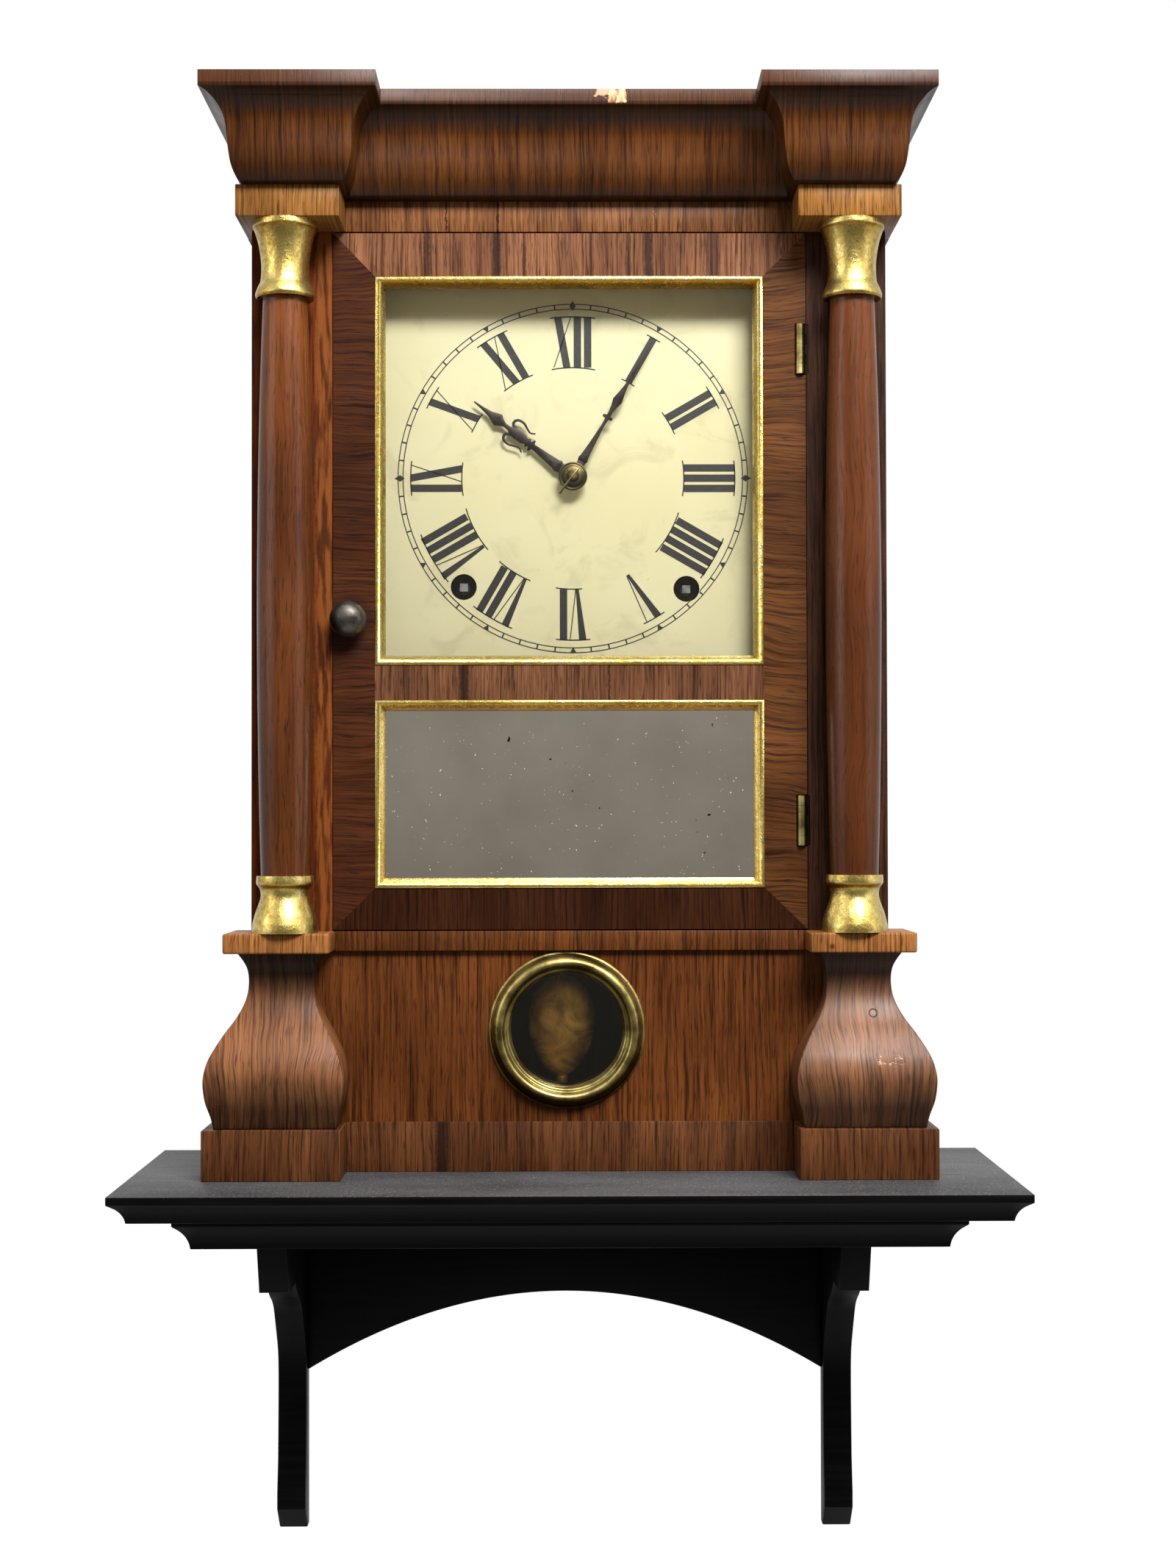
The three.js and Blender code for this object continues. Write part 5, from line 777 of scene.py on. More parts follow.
class CLOCK_OT_cornice(Operator):
    """Veneered cornice with a block over each column and a chipped middle fillet"""

    bl_idname = "clock.cornice"
    bl_label = "Cornice"

    def execute(self, context):
        reach, rise, fascia_foot, top = 14.4, 33.3, 403.95, 408.3
        inner, outer, middle_front, block_front, back = 85.05, 121.3, -3.7, -26.4, 62
        profile = [(reach * out, FRIEZE_SPAN[1] + rise * up) for out, up in eased(CORNICE, 3)]
        profile += [(reach, fascia_foot), (reach, top)]
        piece = course("cornice", [((-88, 88), (middle_front - run, 14), z) for run, z in profile])
        for side in (-1, 1):
            levels = []
            for run, z in profile:
                levels.append((spread(side, inner - run, outer + run), (block_front - run, back), z))
            piece = fit(piece, course("block", levels), how="UNION")
        well = [((-104, 104), (MEMBERS_BACK, 70), z) for z in (369, 410)]
        piece = fit(piece, course("well", well))
        piece = soften(piece, sizes().edge_wear / MM, angle=60)

        def chipped(wood, colour):
            bare = wood.patch((15, 21.7), (403.2, 409), 0.3, 1.5)
            torn = wood.patch((10.2, 15.4), (405.4, 409), 0.5, 5.0)
            front = wood.between(wood.split(wood.points)[1], -0.0765, -0.078)
            bare, torn = wood.times(bare, front), wood.times(torn, front)
            fibres = wood.noise(wood.moved(wood.points, scale=(1, 1, 0.4)), 700, 3)
            pale = wood.tones(fibres, (0.35, shade(128, 84, 52)), (0.6, shade(214, 170, 128)))
            wood.dents(bare, -0.6, 1.0)
            # Painted shade: the fascia band along the top is darkened.
            shaded_fascia = wood.patch((-140, 140), (404, 412), 0.3)
            # Painted shade: the faces that point up are painted dark.
            top = wood.between(wood.facing()[2], 0.15, 0.7)
            # Painted shade in the cove: dark under the fascia and at its foot, lighter in its middle.
            shade_stops = [
                (370, 0.35), (376, 0.6), (384, 1.0), (392, 0.9), (399, 0.5), (403.6, 0.34), (404, 0.9),
                (409, 0.9),
            ]
            shaded_hollow = wood.darkened_by_height(colour, *shade_stops)
            tops_darkened = wood.over(top, shaded_hollow, shade(30, 18, 14))
            darker = wood.tinted(tops_darkened, shaded_fascia, 0.4, shade(52, 32, 26))
            scuffed = wood.tinted(darker, torn, 0.7, shade(190, 150, 120))
            return wood.over(bare, scuffed, pale)

        veneer = rosewood(
            "cornice_veneer", colours().cornice, ink=0.2, gloss=0.36, shift=0.3, depth=0.4, shine=0.12,
            marks=chipped,
        )
        ready(veneered(glued("cornice_veneered", piece), veneer), "case", "dark_veneer", "cornice", angle=25)
        return {"FINISHED"}


class CLOCK_OT_frieze(Operator):
    """Frieze rail between the two blocks over the capitals"""

    bl_idname = "clock.frieze"
    bl_label = "Frieze and caps"

    def execute(self, context):
        tones = colours()

        def seamed(wood, colour):
            streaks = [(-47, 0.6, 0.9), (-27.2, 0.6, 0.9), (33, 0.5, 0.7), (-62, 3, 0.4)]
            return wood.inked(colour, (358, 371), *streaks)

        rail_veneer = rosewood("frieze_veneer", tones.frieze, ink=0.55, shift=1.1, marks=seamed)
        cap_veneer = rosewood("cap_veneer", tones.caps, ink=0.2, shift=2.3, depth=0.4)
        inner, outer, front, back, thin = 85.6, 124.3, -24.3, 55, 3.0
        wear = sizes().edge_wear / MM
        members = railed(FRIEZE_SPAN, inner, outer, 0, front, rail_veneer, cap_veneer, wear)
        for side in (-1, 1):
            x = spread(side, outer - thin, outer)
            members.append(veneered(board("strip", x, (MEMBERS_BACK, back), FRIEZE_SPAN, worn=0), cap_veneer))
        ready(glued("frieze_veneered", *members), "case", "light_veneer", "frieze")
        return {"FINISHED"}


class CLOCK_OT_ledge(Operator):
    """Ledge under the door with a block under each column"""

    bl_idname = "clock.ledge"
    bl_label = "Ledge"

    def execute(self, context):
        tones = colours()

        def knocked(wood, colour):
            knot = wood.spot(97.5, 86.4, 0.9, 0.6)
            return wood.tinted(colour, knot, 0.8, shade(40, 18, 8))

        rail_veneer = rosewood("ledge_rail_veneer", tones.ledge, ink=0.45, shift=3.7)
        block_veneer = rosewood(
            "ledge_block_veneer", tones.ledge_block, ink=0.2, shift=4.4, depth=0.4, marks=knocked,
        )
        inner, outer, rail_front, block_front, rounding = 89.5, 129.2, -1, -22, 0.8
        members = railed(
            LEDGE_SPAN, inner, outer, rail_front, block_front, rail_veneer, block_veneer, rounding, 3,
        )
        ready(glued("ledge_veneered", *members), "case", "light_veneer", "ledge_board")
        return {"FINISHED"}


class CLOCK_OT_plinth(Operator):
    """Plinth rail between two blocks"""

    bl_idname = "clock.plinth"
    bl_label = "Plinth"

    def execute(self, context):
        tones = colours()

        def figured(wood, colour):
            streaks = [(-49, 4.5, 0.85), (-18, 2.5, 0.4), (20, 2, 0.4), (61, 4, 0.5)]
            return wood.inked(colour, (-2, 22), *streaks)

        rail_veneer = rosewood("plinth_veneer", tones.plinth, ink=0.4, shift=5.2, marks=figured)
        block_veneer = rosewood("plinth_block_veneer", tones.plinth, ink=0.45, shift=6.6)
        inner, outer, front, rounding = 85.1, 136.8, -24.3, 0.5
        members = railed((0, PLINTH_TOP), inner, outer, 0, front, rail_veneer, block_veneer, rounding)
        ready(glued("plinth_veneered", *members), "case", "dark_veneer", "plinth")
        return {"FINISHED"}


class CLOCK_OT_pedestals(Operator):
    """The two swelling scroll pedestals"""

    bl_idname = "clock.pedestals"
    bl_label = "Scroll pedestals"

    def execute(self, context):
        def painted_shade(wood, colour):
            # Painted shade: darkest at the foot and at the neck under the ledge, lightest on the swell.
            shade_stops = [
                (PLINTH_TOP, 0.2), (24, 0.3), (32, 0.5), (42, 0.92), (52, 1.0), (62, 0.86), (70, 0.45),
                (76, 0.26), (LEDGE_SPAN[0], 0.2),
            ]
            return wood.darkened_by_height(colour, *shade_stops)

        def nailed(wood, colour):
            # Painted shade first, then the nail and its scratches.
            colour = painted_shade(wood, colour)
            ring = wood.spot(PLUG_X, PLUG_Z, 1.5, 0.25)
            head = wood.spot(PLUG_X, PLUG_Z, 1.0, 0.2)
            colour = wood.tinted(colour, ring, 0.85, shade(34, 18, 12))
            colour = wood.tinted(colour, head, 0.8, shade(120, 88, 72))
            wood.dents(ring, -0.4, 0.8)
            near = wood.patch((114, 124), (42, 45.6), 1.0)
            thread = wood.noise(wood.moved(wood.points, scale=(1, 1, 2.2)), 260, 3)
            scratch = wood.between(wood.sums("ABSOLUTE", wood.sums("SUBTRACT", thread, 0.52)), 0.015, 0.0)
            return wood.tinted(colour, scratch, near, shade(214, 160, 128))

        inner, inward, outer, outward = 96.6, 12.4, 120.8, 15.4
        front, forward, back, tall = -11, 13.2, 1.5, 65.1
        for name, side in SIDES:
            levels = []
            for flare, rise in eased(SCROLL, 4):
                x = spread(side, inner - inward * flare, outer + outward * flare)
                levels.append((x, (front - forward * flare, back), PLINTH_TOP + tall * rise))
            veneer = rosewood(
                "pedestal_veneer_" + name, colours().pedestal, ink=0.2, gloss=0.46, shift=7.5 + side, band=60,
                wave=8, shine=0.16 + 0.05 * side, marks=nailed if side > 0 else painted_shade,
            )
            piece = soften(course("scroll_pedestal_" + name + "_veneered", levels), 0.5, 3, angle=60)
            ready(veneered(piece, veneer), "case", "dark_veneer", "scroll_pedestal_" + name, angle=30)
        return {"FINISHED"}


class CLOCK_OT_columns(Operator):
    """Turned shafts in red varnish between gilded capitals and bases"""

    bl_idname = "clock.columns"
    bl_label = "Columns"

    def execute(self, context):
        sides = sizes().turning_sides

        def painted_shade(wood, colour):
            # Painted shade: the shafts darken towards their feet, and the right column is tinted darker
            # overall.
            shaded = wood.darkened_by_height(colour, (SHAFT_FOOT, 0.42), (170, 0.48), (230, 0.64), (SHAFT_TOP, 0.84))
            right = wood.between(wood.split(wood.points)[0], -0.01, 0.01)
            return wood.tinted(shaded, right, 0.35, shade(60, 28, 12))

        varnish = rosewood(
            "column_varnish", colours().column, ink=0.03, gloss=0.27, shift=9.1, band=110, wave=5, depth=0.4,
            shine=0.16, lining=0.5, marks=painted_shade,
        )
        leaf = gilding("column_gilding", 0.82)
        turned = [
            ("column_shaft_", SHAFT, 6, 10.5, SHAFT_FOOT, SHAFT_TOP, varnish, "red_varnish"),
            ("capital_", CAPITAL, 4, 12.2, SHAFT_TOP, FRIEZE_SPAN[0], leaf, "gilt_wood"),
            ("column_base_", COLUMN_BASE, 4, 12.35, LEDGE_SPAN[1], SHAFT_FOOT, leaf, "gilt_wood"),
        ]
        for name, side in SIDES:
            x = COLUMN_X * side
            for part, shares, steps, radius, low, high, finish, slot in turned:
                levels = []
                for share, rise in eased(shares, steps):
                    r = radius * min(share, 1)
                    levels.append(((x - r, x + r), (COLUMN_Y - r, COLUMN_Y + r), low + (high - low) * rise))
                piece = course(part + name + "_turned", levels, sides=sides)
                ready(veneered(piece, finish), "case", slot, part + name, angle=50)
        return {"FINISHED"}


class CLOCK_OT_door_frame(Operator):
    """Mitred door frame: stiles with level grain, rails with upright grain"""

    bl_idname = "clock.door_frame"
    bl_label = "Door frame"

    def execute(self, context):
        tones = colours()

        def stained(wood, colour):
            ring = wood.spot(KNOB_X, KNOB_Z, 9.5, 2.5)
            return wood.tinted(colour, ring, 0.6, shade(30, 16, 12))

        def figured(wood, colour):
            top = [
                (-54.3, 2.4, 0.7), (-27.6, 3.2, 0.8), (-17, 1.2, 0.4), (22.7, 1.4, 0.5), (30.3, 3, 0.8),
                (55, 5, 0.6),
            ]
            cross = [(-40.2, 3.5, 0.85), (15.1, 0.7, 0.8), (-62, 2, 0.4), (48, 3, 0.35)]
            # The rails are darker towards the bottom of the door.
            colour = wood.darkened_by_height(colour, (92, 0.66), (194, 0.66), (330, 1.0), (360, 1.0))
            colour = wood.inked(colour, (341, 359), *top)
            return wood.inked(colour, (178, 194), *cross)

        left_veneer = rosewood(
            "left_stile_veneer", tones.stile_left, grain="across", ink=0.3, shift=11.3, band=130, wave=10,
            depth=0.5, marks=stained,
        )
        right_veneer = rosewood(
            "right_stile_veneer", tones.stile_right, grain="across", shift=13.6, band=110, wave=14,
        )
        rail_veneer = rosewood("door_rail_veneer", tones.door_rail, ink=0.3, shift=12.9, marks=figured)
        foot_veneer = rosewood("door_foot_veneer", tones.door_foot, ink=0.4, shift=18.2)
        thick = (0, 13)
        tip = 0.02
        heights = (DOOR_FOOT, MIRROR_FOOT, GLASS_TOP, DOOR_TOP)
        wide, opening = (DOOR_LEFT, DOOR_RIGHT), (-OPENING, OPENING)
        left_tip, left_full = (DOOR_LEFT, DOOR_LEFT + tip), (DOOR_LEFT, -OPENING)
        right_tip, right_full = (DOOR_RIGHT - tip, DOOR_RIGHT), (OPENING, DOOR_RIGHT)
        left = [(x, thick, z) for x, z in zip((left_tip, left_full, left_full, left_tip), heights)]
        right = [(x, thick, z) for x, z in zip((right_tip, right_full, right_full, right_tip), heights)]
        stile_left = course("stile", left)
        stile_right = course("stile", right)
        spindle_hole, knuckle_half, leaf_half, past_edge = 2.3, 9.9, 9.6, 92
        fit(stile_left, disc("spindle", KNOB_X, KNOB_Z, [(spindle_hole, -2), (spindle_hole, 15)], 24))
        for z in HINGE_HEIGHTS:
            ends = (z - knuckle_half, z + knuckle_half)
            knuckle = course("knuckle", [((86.4, past_edge), (-1, 2.1), end) for end in ends])
            ends = (z - leaf_half, z + leaf_half)
            leaf = course("leaf", [((89.3, past_edge), (-1, 11.2), end) for end in ends])
            fit(stile_right, knuckle, leaf)
        members = [veneered(stile_left, left_veneer), veneered(stile_right, right_veneer)]
        top = course("rail", [(opening, thick, GLASS_TOP), (wide, thick, DOOR_TOP)])
        foot = course("rail", [(wide, thick, DOOR_FOOT), (opening, thick, MIRROR_FOOT)])
        cross = board("rail", opening, thick, (MIRROR_TOP, GLASS_FOOT), worn=0)
        members += [veneered(top, rail_veneer), veneered(foot, foot_veneer), veneered(cross, rail_veneer)]
        ready(glued("door_frame_veneered", *members), "door", "dark_veneer", "door_frame")
        return {"FINISHED"}


class CLOCK_OT_beads(Operator):
    """Gilded beads round the glass and the mirror"""

    bl_idname = "clock.beads"
    bl_label = "Gilt beads"

    def execute(self, context):
        leaf = gilding("bead_gilding", 0.94)
        run = [BEAD[0], *eased(BEAD[1:-1], 3), BEAD[-1], BEAD[0]]
        beads = [("upper_bead", GLASS_FOOT, GLASS_TOP), ("lower_bead", MIRROR_FOOT, MIRROR_TOP)]
        for name, low, high in beads:
            levels = []
            for inset, y in run:
                levels.append(((low + inset, high - inset), (-OPENING + inset, OPENING - inset), y))
            piece = course(name + "_gilded", levels, "Y", ring=True)
            ready(veneered(piece, leaf), "door", "gilt_wood", name, angle=50)
        return {"FINISHED"}


class CLOCK_OT_knob(Operator):
    """Turned pewter knob on the door's left stile"""

    bl_idname = "clock.knob"
    bl_label = "Door knob"

    def execute(self, context):
        pewter = plain_metal("knob_pewter", shade(78, 74, 67), shade(44, 40, 36), 0.36)
        radius, length, spindle, spindle_end = 7, 13, 1.8, 15.6
        profile = [(radius * r, -length * (1 - run)) for r, run in eased(KNOB, 4)]
        profile += [(spindle, 0), (spindle, spindle_end)]
        piece = disc("door_knob_turned", KNOB_X, KNOB_Z, profile, 48)
        ready(veneered(piece, pewter), "latch", "pewter", "door_knob", angle=50)
        return {"FINISHED"}


class CLOCK_OT_bezel(Operator):
    """Spun brass bezel of the round window"""

    bl_idname = "clock.bezel"
    bl_label = "Window bezel"

    def execute(self, context):
        brass = aged_brass("bezel_brass", colours().brass_bright, colours().brass_dull, 0.34)
        inner, width, socket, panel_front, proud, back = 21.5, 8.3, 24.2, 1.5, 5.6, 5.7
        face = [(inner + width * out, panel_front - proud * rise) for out, rise in eased(BEZEL[:-1], 4)]
        rest = [(inner + width, panel_front), (socket, panel_front), (socket, back), (inner, back)]
        run = [(inner, back), *face, *rest]
        piece = disc("window_bezel_spun", WINDOW_X, WINDOW_Z, run, 96, ring=True)
        ready(veneered(piece, brass), "case", "brass", "window_bezel", angle=40)
        return {"FINISHED"}


class CLOCK_OT_dial_print(Operator):
    """Printed minute ring and hour numerals on the dial"""

    bl_idname = "clock.dial_print"
    bl_label = "Dial print"

    depth = (DIAL_Y - PRINT_THICK, DIAL_Y)

    def stroke(self, foot, top, foot_width, top_width, inner, outer):
        levels = []
        for middle, wide, reach in ((foot, foot_width, inner), (top, top_width, outer)):
            span = (DIAL_X + middle - wide / 2, DIAL_X + middle + wide / 2)
            levels.append((span, self.depth, DIAL_Z + reach))
        return course("stroke", levels)

    def serif(self, left, right, radius, thin):
        levels = []
        steps = 8
        for i in range(steps + 1):
            x = left + (right - left) * i / steps
            z = DIAL_Z + math.sqrt(radius**2 - x**2)
            levels.append((self.depth, (z - thin / 2, z + thin / 2), DIAL_X + x))
        return course("serif", levels, "X")

    def numeral(self, letters, inner, outer, thick, thin):
        widths = {"I": thick, "V": 6.4, "X": 6.6}
        gap, overhang = 1.1, 1.5
        total = sum(widths[c] for c in letters) + gap * (len(letters) - 1)
        strokes = []
        left = -total / 2
        for letter in letters:
            right = left + widths[letter]
            middle = (left + right) / 2
            if letter == "I":
                strokes.append(self.stroke(middle, middle, thick, thick, inner, outer))
            elif letter == "V":
                apex = middle + 0.5
                strokes.append(self.stroke(apex - 0.1, left + thick / 2, thick * 0.4, thick, inner, outer))
                strokes.append(self.stroke(apex + 0.45, right, thin, thin, inner, outer))
            else:
                foot = right - thick / 2 - 0.1
                strokes.append(self.stroke(foot, left + thick / 2, thick, thick, inner, outer))
                strokes.append(self.stroke(left, right, thin, thin, inner, outer))
            left = right + gap
        reach = total / 2 + overhang
        strokes.append(self.serif(-reach, reach, outer, thin * 1.2))
        feet = {"V": None, "X": reach - 0.6, "I": reach}
        start = -total / 2 + 1.6 if letters[0] == "V" else -feet[letters[0]]
        end = feet[letters[-1]]
        if end is not None:
            strokes.append(self.serif(start, end, inner, thin * 1.2))
        elif len(letters) > 1:
            strokes.append(self.serif(start, total / 2 - 2.0, inner, thin * 1.2))
        return strokes

    def execute(self, context):
        s = sizes()
        outer, inner = s.numeral_outer / MM, s.numeral_inner / MM
        thick, thin = s.thick_stroke / MM, s.thin_stroke / MM
        ring = s.minute_ring / MM
        ring_inner = ring - s.minute_ring_width / MM
        parts = []
        for radius in (ring, ring_inner):
            low, high = radius - thin / 2, radius + thin / 2
            face, back = self.depth
            run = [(low, back), (low, face), (high, face), (high, back), (low, back)]
            parts.append(disc("ring", DIAL_X, DIAL_Z, run, 180, ring=True))
        tick = self.stroke(0, 0, thin * 1.5, thin * 1.5, ring_inner, ring)
        for minute in range(60):
            if minute % 5:
                parts.append(copied(tick, about_dial(6 * minute)))
        mark = self.stroke(0, 0, 0.3, 2.5, ring_inner - 0.1, ring)
        for hour in (1, 2, 4, 5, 6, 7, 8, 10, 11):
            parts.append(copied(mark, about_dial(30 * hour)))
        lower = self.stroke(0, 0, 0.2, 2.6, ring - 2.5, ring - 0.8)
        upper = self.stroke(0, 0, 2.6, 0.2, ring - 0.8, ring + 1.3)
        for hour in (0, 3, 9):
            parts.append(copied(lower, about_dial(30 * hour)))
            parts.append(copied(upper, about_dial(30 * hour)))
        for hour, letters in enumerate(HOUR_NUMERALS):
            for stroke in self.numeral(letters, inner, outer, thick, thin):
                parts.append(settle(stroke, about_dial(30 * hour)))
        for spare in (tick, mark, lower, upper):
            bpy.data.objects.remove(spare, do_unlink=True)
        hole, near_hole = 5.15, 7
        for x, z in ((45.6, 223.7), (-41.2, 224.5)):
            middle = Vector((x, 0, z + SHELF_Z)) * MM
            for part in parts:
                near = min((Vector((v.co.x, 0, v.co.z)) - middle).length for v in part.data.vertices)
                if near < near_hole * MM or part.name.startswith("ring"):
                    fit(part, disc("hole", x, z, [(hole, 16), (hole, 20)], 48))
        piece = glued("dial_print", *[part for part in parts if part.data.vertices])
        ready(veneered(piece, dial_ink("dial_print_ink")), "case", "dial_paint", angle=20)
        return {"FINISHED"}


class CLOCK_OT_hands(Operator):
    """Blued hands with a brass collet and its taper pin"""

    bl_idname = "clock.hands"
    bl_label = "Hands"

    def blade(self, run, front, thick):
        ridge_share = 0.35
        depth = (front, front + thick)
        levels = [((DIAL_X - half, DIAL_X + half), depth, DIAL_Z + reach) for reach, half in run]
        return soften(course("blade", levels), thick * ridge_share, 2, 60)

    def hand(self, name, run, hub, neck, front, thick, arms):
        """A blade on a round hub, with a short neck between them."""
        neck_back, neck_thick, neck_reach = 0.05, 0.5, (3.6, 6.7)
        parts = [self.blade(run, front, thick), disc("hub", DIAL_X, DIAL_Z, hub, 48)]
        parts.append(self.blade(list(zip(neck_reach, neck)), front + neck_back, neck_thick))
        return glued(name, *parts, *arms)

    def arm(self, side, front, thick):
        radius, swell, taper, taper_from = 0.5, 1.15, 0.6, 12
        line = bpy.data.curves.new("arm", "CURVE")
        line.dimensions = "3D"
        line.bevel_depth = radius * MM
        line.bevel_resolution = 3
        line.use_fill_caps = True
        points = eased(SCROLL_ARM, 5)
        spline = line.splines.new("POLY")
        spline.points.add(len(points) - 1)
        y = (front + thick / 2 - WALL_Y) * MM
        for i, (reach, out) in enumerate(points):
            thinned = max(i - taper_from, 0) / (len(points) - taper_from)
            spline.points[i].co = ((DIAL_X + out * side) * MM, y, (DIAL_Z + reach + SHELF_Z) * MM, 1)
            spline.points[i].radius = swell - taper * thinned
        arm = bpy.data.objects.new("arm", line)
        bpy.context.collection.objects.link(arm)
        only(arm)
        bpy.ops.object.convert(target="MESH")
        bpy.ops.object.mode_set(mode="EDIT")
        bpy.ops.mesh.select_all(action="SELECT")
        bpy.ops.transform.resize(value=(1, thick / 2 / 0.58, 1), center_override=(0, y, 0))
        bpy.ops.mesh.normals_make_consistent(inside=False)
        bpy.ops.object.mode_set(mode="OBJECT")
        return settle(bpy.context.object)

    def execute(self, context):
        s = sizes()
        blued = plain_metal("hand_blued_steel", shade(60, 54, 50), shade(34, 30, 30), 0.42, 220)
        brass = aged_brass("collet_brass", shade(108, 96, 64), shade(60, 50, 30), 0.34)
        front, thick = 15, 0.6
        arms = [self.arm(side, front, thick) for side in (1, -1)]
        hub = [(4.6, front), (4.75, 15.15), (4.75, 15.45), (4.6, 15.6)]
        hour = self.hand("hour_hand_scrolled", HOUR_BLADE, hub, (1.9, 2.1), front, thick, arms)
        settle(hour, about_dial(math.degrees(s.hour_degrees)))
        ready(veneered(hour, blued), "hour", "blued_steel", "hour_hand")

        front = 12.8
        hub = [(4.6, front), (4.75, 12.9), (4.75, 13.3), (4.6, 13.4)]
        minute = self.hand("minute_hand_pointed", MINUTE_BLADE, hub, (1.5, 1.6), front, thick, [])
        settle(minute, about_dial(math.degrees(s.minute_degrees)))
        ready(veneered(minute, blued), "minute", "blued_steel", "minute_hand")

        bore, pin_y, pin_degrees = (1.3, front), 10.0, 37
        run = [bore, *eased(COLLET_DOME, 3), (5.45, 11.6), (5.6, 12.0), (5.5, front), bore]
        collet = disc("collet", DIAL_X, DIAL_Z, run, 64, ring=True)
        levels = []
        for reach, r in [(-3.6, 0.3), (-3.4, 0.38), (8.6, 0.55), (8.8, 0.45)]:
            levels.append(((DIAL_X - r, DIAL_X + r), (pin_y - r, pin_y + r), DIAL_Z - reach))
        pin = settle(course("pin", levels, sides=16), about_dial(pin_degrees))
        bright = aged_brass("pin_brass", shade(206, 188, 128), shade(150, 132, 84), 0.28)
        piece = glued("hand_collet_domed", veneered(collet, brass), veneered(pin, bright))
        ready(piece, "minute", "brass", "hand_collet", angle=45)
        return {"FINISHED"}


class CLOCK_OT_bob(Operator):
    """Egg-shaped brass bob with its rating nut"""

    bl_idname = "clock.bob"
    bl_label = "Pendulum bob"

    def execute(self, context):
        dim = Finish("bob_dim_brass", Metallic=0.85)
        cloud = dim.noise(dim.points, 60, 4, 0.6, 1.5)
        dull, middling, bright = shade(128, 94, 44), shade(186, 140, 66), shade(232, 170, 76)
        dim.colour(dim.tones(cloud, (0.35, dull), (0.5, middling), (0.66, bright)))
        dim.roughness(dim.scaled(cloud, 0.3, 0.3))
        dim.dents(dim.noise(dim.points, 70, 3), 0.4, 0.6)
        levels = []
        half_width, half_depth, half_height, egg_share, steps, tip_share = 13.2, 4.4, 19.75, 0.14, 32, 0.06
        for i in range(steps + 1):
            t = math.cos(math.pi * (1 - i / steps))
            out = max(math.sqrt(1 - t * t), tip_share)
            wide = half_width * out * (1 + egg_share * t) / 1.014
            deep = half_depth * out
            level = ((BOB_X - wide, BOB_X + wide), (BOB_Y - deep, BOB_Y + deep), BOB_Z + half_height * t)
            levels.append(level)
        bob = course("bob", levels, sides=56)
        rim = ((-5.7, -1.1), (21.4, 24.6))
        nut = course("nut", [((-5.4, -1.4), (21.6, 24.4), 31.4), (*rim, 31.8), (*rim, 34)], sides=12)
        piece = glued("pendulum_bob_brass", bob, nut)
        ready(veneered(piece, dim.material), "pendulum", "brass", "pendulum_bob", angle=50)
        return {"FINISHED"}


class CLOCK_OT_kept_nodes(Operator):
    """Finishes for the pieces of the frame that stay as they are"""

    bl_idname = "clock.kept_nodes"
    bl_label = "Finishes of the frame"

    def execute(self, context):
        tones = colours()

        def mottled(wood, colour):
            strip = wood.patch((-97, -90), (91, 359), 1.6, 2.0)
            grain = wood.moved(wood.points, scale=(1, 1, 0.12))
            flecks = wood.between(wood.noise(grain, 520, 4), 0.42, 0.62)
            warm = wood.over(flecks, shade(124, 70, 30), shade(56, 28, 14))
            return wood.tinted(colour, strip, 0.6, warm)

        def gap_shaded(metal, colour):
            # Painted shade in the gap between the door and the case, on the hinge brass.
            gap = metal.patch((89.5, 93), (100, 350), 0.12)
            return metal.over(gap, colour, shade(26, 20, 12))

        brass = aged_brass("movement_brass", shade(170, 140, 80), shade(112, 90, 48), 0.34)
        # The front plate's brass is painted dark as the shade seen through the winding holes.
        plate = aged_brass("front_plate_brass_shaded", shade(74, 62, 40), shade(40, 33, 22), 0.45)
        hinge = aged_brass("hinge_brass", shade(164, 150, 98), shade(96, 84, 50), 0.4, gap_shaded)
        steel = plain_metal("movement_steel", shade(150, 150, 150), shade(104, 104, 106), 0.35)
        iron = plain_metal("gong_iron", shade(74, 72, 72), shade(42, 41, 42), 0.5)
        spring = plain_metal("spring_steel", shade(86, 90, 100), shade(50, 52, 62), 0.34)
        finishes = {
            "case_carcass": case_pine("carcass_pine", shade(78, 48, 28), shade(112, 72, 42)),
            # The backboard's pine is painted darker, as the shade inside the case.
            "backboard": case_pine("backboard_pine", shade(62, 42, 24), shade(94, 66, 38), 1.7),
            "stile_left": rosewood("case_left_veneer", tones.case_left, ink=0.6, shift=14.2, marks=mottled),
            "stile_right": rosewood("case_right_veneer", tones.case_right, ink=0.6, shift=15.8),
            "base_panel": rosewood("base_panel_veneer", tones.panel, ink=0.08, shift=17.1, depth=0.3),
            "door_glass": pane_glass("door_pane_glass", shade(250, 250, 244)),
            "window_glass": pane_glass("window_pane_glass", shade(250, 250, 244), 0.08),
            "mirror": old_mirror("mirror_silver"),
            "dial": dial_paint("dial_cream_paint", tones.dial),
            "front_plate": plate,
            "gong": iron,
            "time_mainspring": spring,
            "strike_mainspring": spring,
            "pendulum_rod": steel,
            "verge": steel,
            "strike_hammer": steel,
            "door_latch": brass,
        }
        for name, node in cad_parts.items():
            if node.hide_render:
                continue
            metal = hinge if name.startswith("hinge") else steel if name.endswith("arbor") else brass
            veneered(node, finishes.get(name, metal))
        return {"FINISHED"}


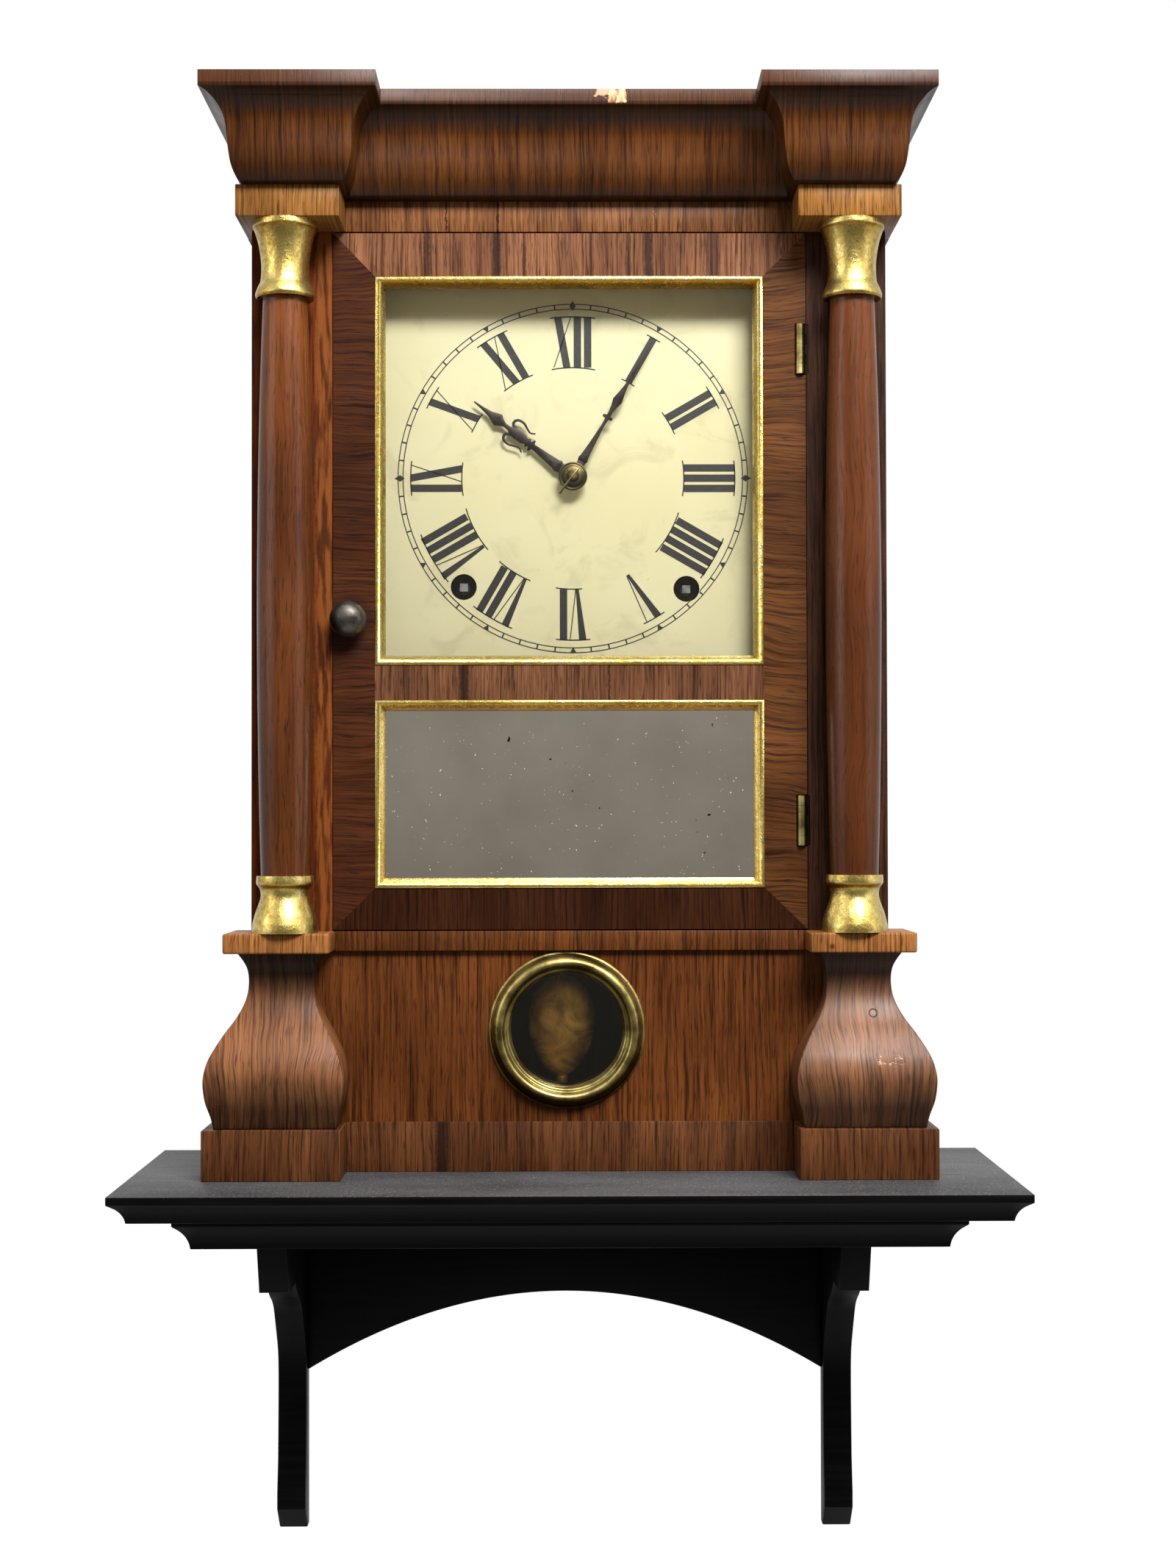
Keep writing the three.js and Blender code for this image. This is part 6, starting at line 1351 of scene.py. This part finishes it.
class CLOCK_OT_stage(Operator):
    """Floor, soft lamps and the camera"""

    bl_idname = "clock.stage"
    bl_label = "Stage"

    def lamp(self, name, place, aim, wide, high, watts):
        data = bpy.data.lights.new(name, "AREA")
        data.shape = "RECTANGLE"
        data.size = wide
        data.size_y = high
        data.energy = watts
        lamp = bpy.data.objects.new(name, data)
        lamp.location = place
        lamp.rotation_euler = (Vector(aim) - Vector(place)).to_track_quat("-Z", "Y").to_euler()
        bpy.context.collection.objects.link(lamp)

    def execute(self, context):
        scene = context.scene
        scene.view_settings.view_transform = "Standard"
        world = bpy.data.worlds.new("Studio")
        world.use_nodes = True
        scene.world = world
        nodes, links = world.node_tree.nodes, world.node_tree.links
        soft = nodes["Background"]
        soft.inputs["Color"].default_value = (0.95, 0.97, 1.0, 1)
        soft.inputs["Strength"].default_value = 0.13
        white = nodes.new("ShaderNodeBackground")
        white.inputs["Color"].default_value = (1, 1, 1, 1)
        white.inputs["Strength"].default_value = 1
        path = nodes.new("ShaderNodeLightPath")
        seen = nodes.new("ShaderNodeMath")
        seen.operation = "ADD"
        links.new(path.outputs["Is Camera Ray"], seen.inputs[0])
        links.new(path.outputs["Is Transmission Ray"], seen.inputs[1])
        shown = nodes.new("ShaderNodeMath")
        shown.operation = "ADD"
        shown.use_clamp = True
        links.new(seen.outputs[0], shown.inputs[0])
        links.new(path.outputs["Is Glossy Ray"], shown.inputs[1])
        mix = nodes.new("ShaderNodeMixShader")
        links.new(shown.outputs[0], mix.inputs[0])
        links.new(soft.outputs[0], mix.inputs[1])
        links.new(white.outputs[0], mix.inputs[2])
        links.new(mix.outputs[0], nodes["World Output"].inputs["Surface"])

        clear()
        bpy.ops.mesh.primitive_plane_add(size=3.0, location=(0, -0.3, -0.7))
        floor = bpy.context.object
        floor.name = "floor"
        pale = Finish("floor_pale", Roughness=0.8)
        cloud = pale.noise(pale.points, 3, 2)
        pale.colour(pale.tones(cloud, (0.3, shade(226, 226, 224)), (0.7, shade(234, 234, 232))))
        veneered(floor, pale.material)
        bpy.ops.mesh.primitive_plane_add(size=1.0, location=(0, -1.9, 0.2), rotation=(math.pi / 2, 0, 0))
        card = bpy.context.object
        card.name = "grey_card"
        bpy.ops.transform.resize(value=(5.0, 1, 2.6), center_override=card.location)
        grey = Finish("card_grey", Roughness=1.0, Base_Color=(0, 0, 0, 1), Emission_Strength=0.42)
        bands = [
            (0.2, shade(70, 66, 62)), (0.45, shade(196, 190, 180)), (0.56, shade(216, 211, 202)),
            (0.8, shade(250, 248, 244)),
        ]
        tone = grey.tones(grey.sums("ADD", grey.split(grey.points)[1], 0.5), *bands)
        grey.links.new(tone, grey.surface.inputs["Emission Color"])
        veneered(card, grey.material)
        card.visible_camera = False
        card.visible_diffuse = False

        for settings in LAMPS:
            self.lamp(*settings)

        data = bpy.data.cameras.new("photograph_view")
        data.lens = LENS
        data.sensor_width = 36
        camera = bpy.data.objects.new("photograph_view", data)
        turn = Matrix.Rotation(-CAMERA_PAN, 4, "Z") @ Matrix.Rotation(math.pi / 2 + CAMERA_TILT, 4, "X")
        turn = turn @ Matrix.Rotation(-CAMERA_ROLL, 4, "Z")
        camera.matrix_world = Matrix.Translation(CAMERA_AT) @ turn
        bpy.context.collection.objects.link(camera)
        scene.camera = camera
        return {"FINISHED"}


OPERATORS = [
    CLOCK_OT_shelf, CLOCK_OT_cornice, CLOCK_OT_frieze, CLOCK_OT_ledge, CLOCK_OT_plinth,
    CLOCK_OT_pedestals, CLOCK_OT_columns, CLOCK_OT_door_frame, CLOCK_OT_beads, CLOCK_OT_knob,
    CLOCK_OT_bezel, CLOCK_OT_dial_print, CLOCK_OT_hands, CLOCK_OT_bob, CLOCK_OT_kept_nodes,
    CLOCK_OT_stage,
]


class CLOCK_PT_panel(Panel):
    """Everything that makes up the clock"""

    bl_label = "Column wall clock"
    bl_idname = "CLOCK_PT_panel"
    bl_space_type = "VIEW_3D"
    bl_region_type = "UI"
    bl_category = "Clock"

    def draw(self, context):
        for group in (context.scene.clock_sizes, context.scene.clock_colours):
            box = self.layout.box()
            for name in group.bl_rna.properties.keys():
                if name not in ("rna_type", "name"):
                    box.prop(group, name)
        for operator in OPERATORS:
            self.layout.operator(operator.bl_idname)


CLASSES = [ClockSizes, ClockColours, *OPERATORS, CLOCK_PT_panel]


def register():
    for each in CLASSES:
        bpy.utils.register_class(each)
    bpy.types.Scene.clock_sizes = PointerProperty(type=ClockSizes)
    bpy.types.Scene.clock_colours = PointerProperty(type=ClockColours)


def unregister():
    del bpy.types.Scene.clock_colours
    del bpy.types.Scene.clock_sizes
    for each in reversed(CLASSES):
        bpy.utils.unregister_class(each)


def main():
    register()
    bpy.ops.clock.shelf()
    bpy.ops.clock.cornice()
    bpy.ops.clock.frieze()
    bpy.ops.clock.ledge()
    bpy.ops.clock.plinth()
    bpy.ops.clock.pedestals()
    bpy.ops.clock.columns()
    bpy.ops.clock.door_frame()
    bpy.ops.clock.beads()
    bpy.ops.clock.knob()
    bpy.ops.clock.bezel()
    bpy.ops.clock.dial_print()
    bpy.ops.clock.hands()
    bpy.ops.clock.bob()
    bpy.ops.clock.kept_nodes()
    bpy.ops.clock.stage()
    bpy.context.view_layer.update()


if __name__ == "__main__":
    main()
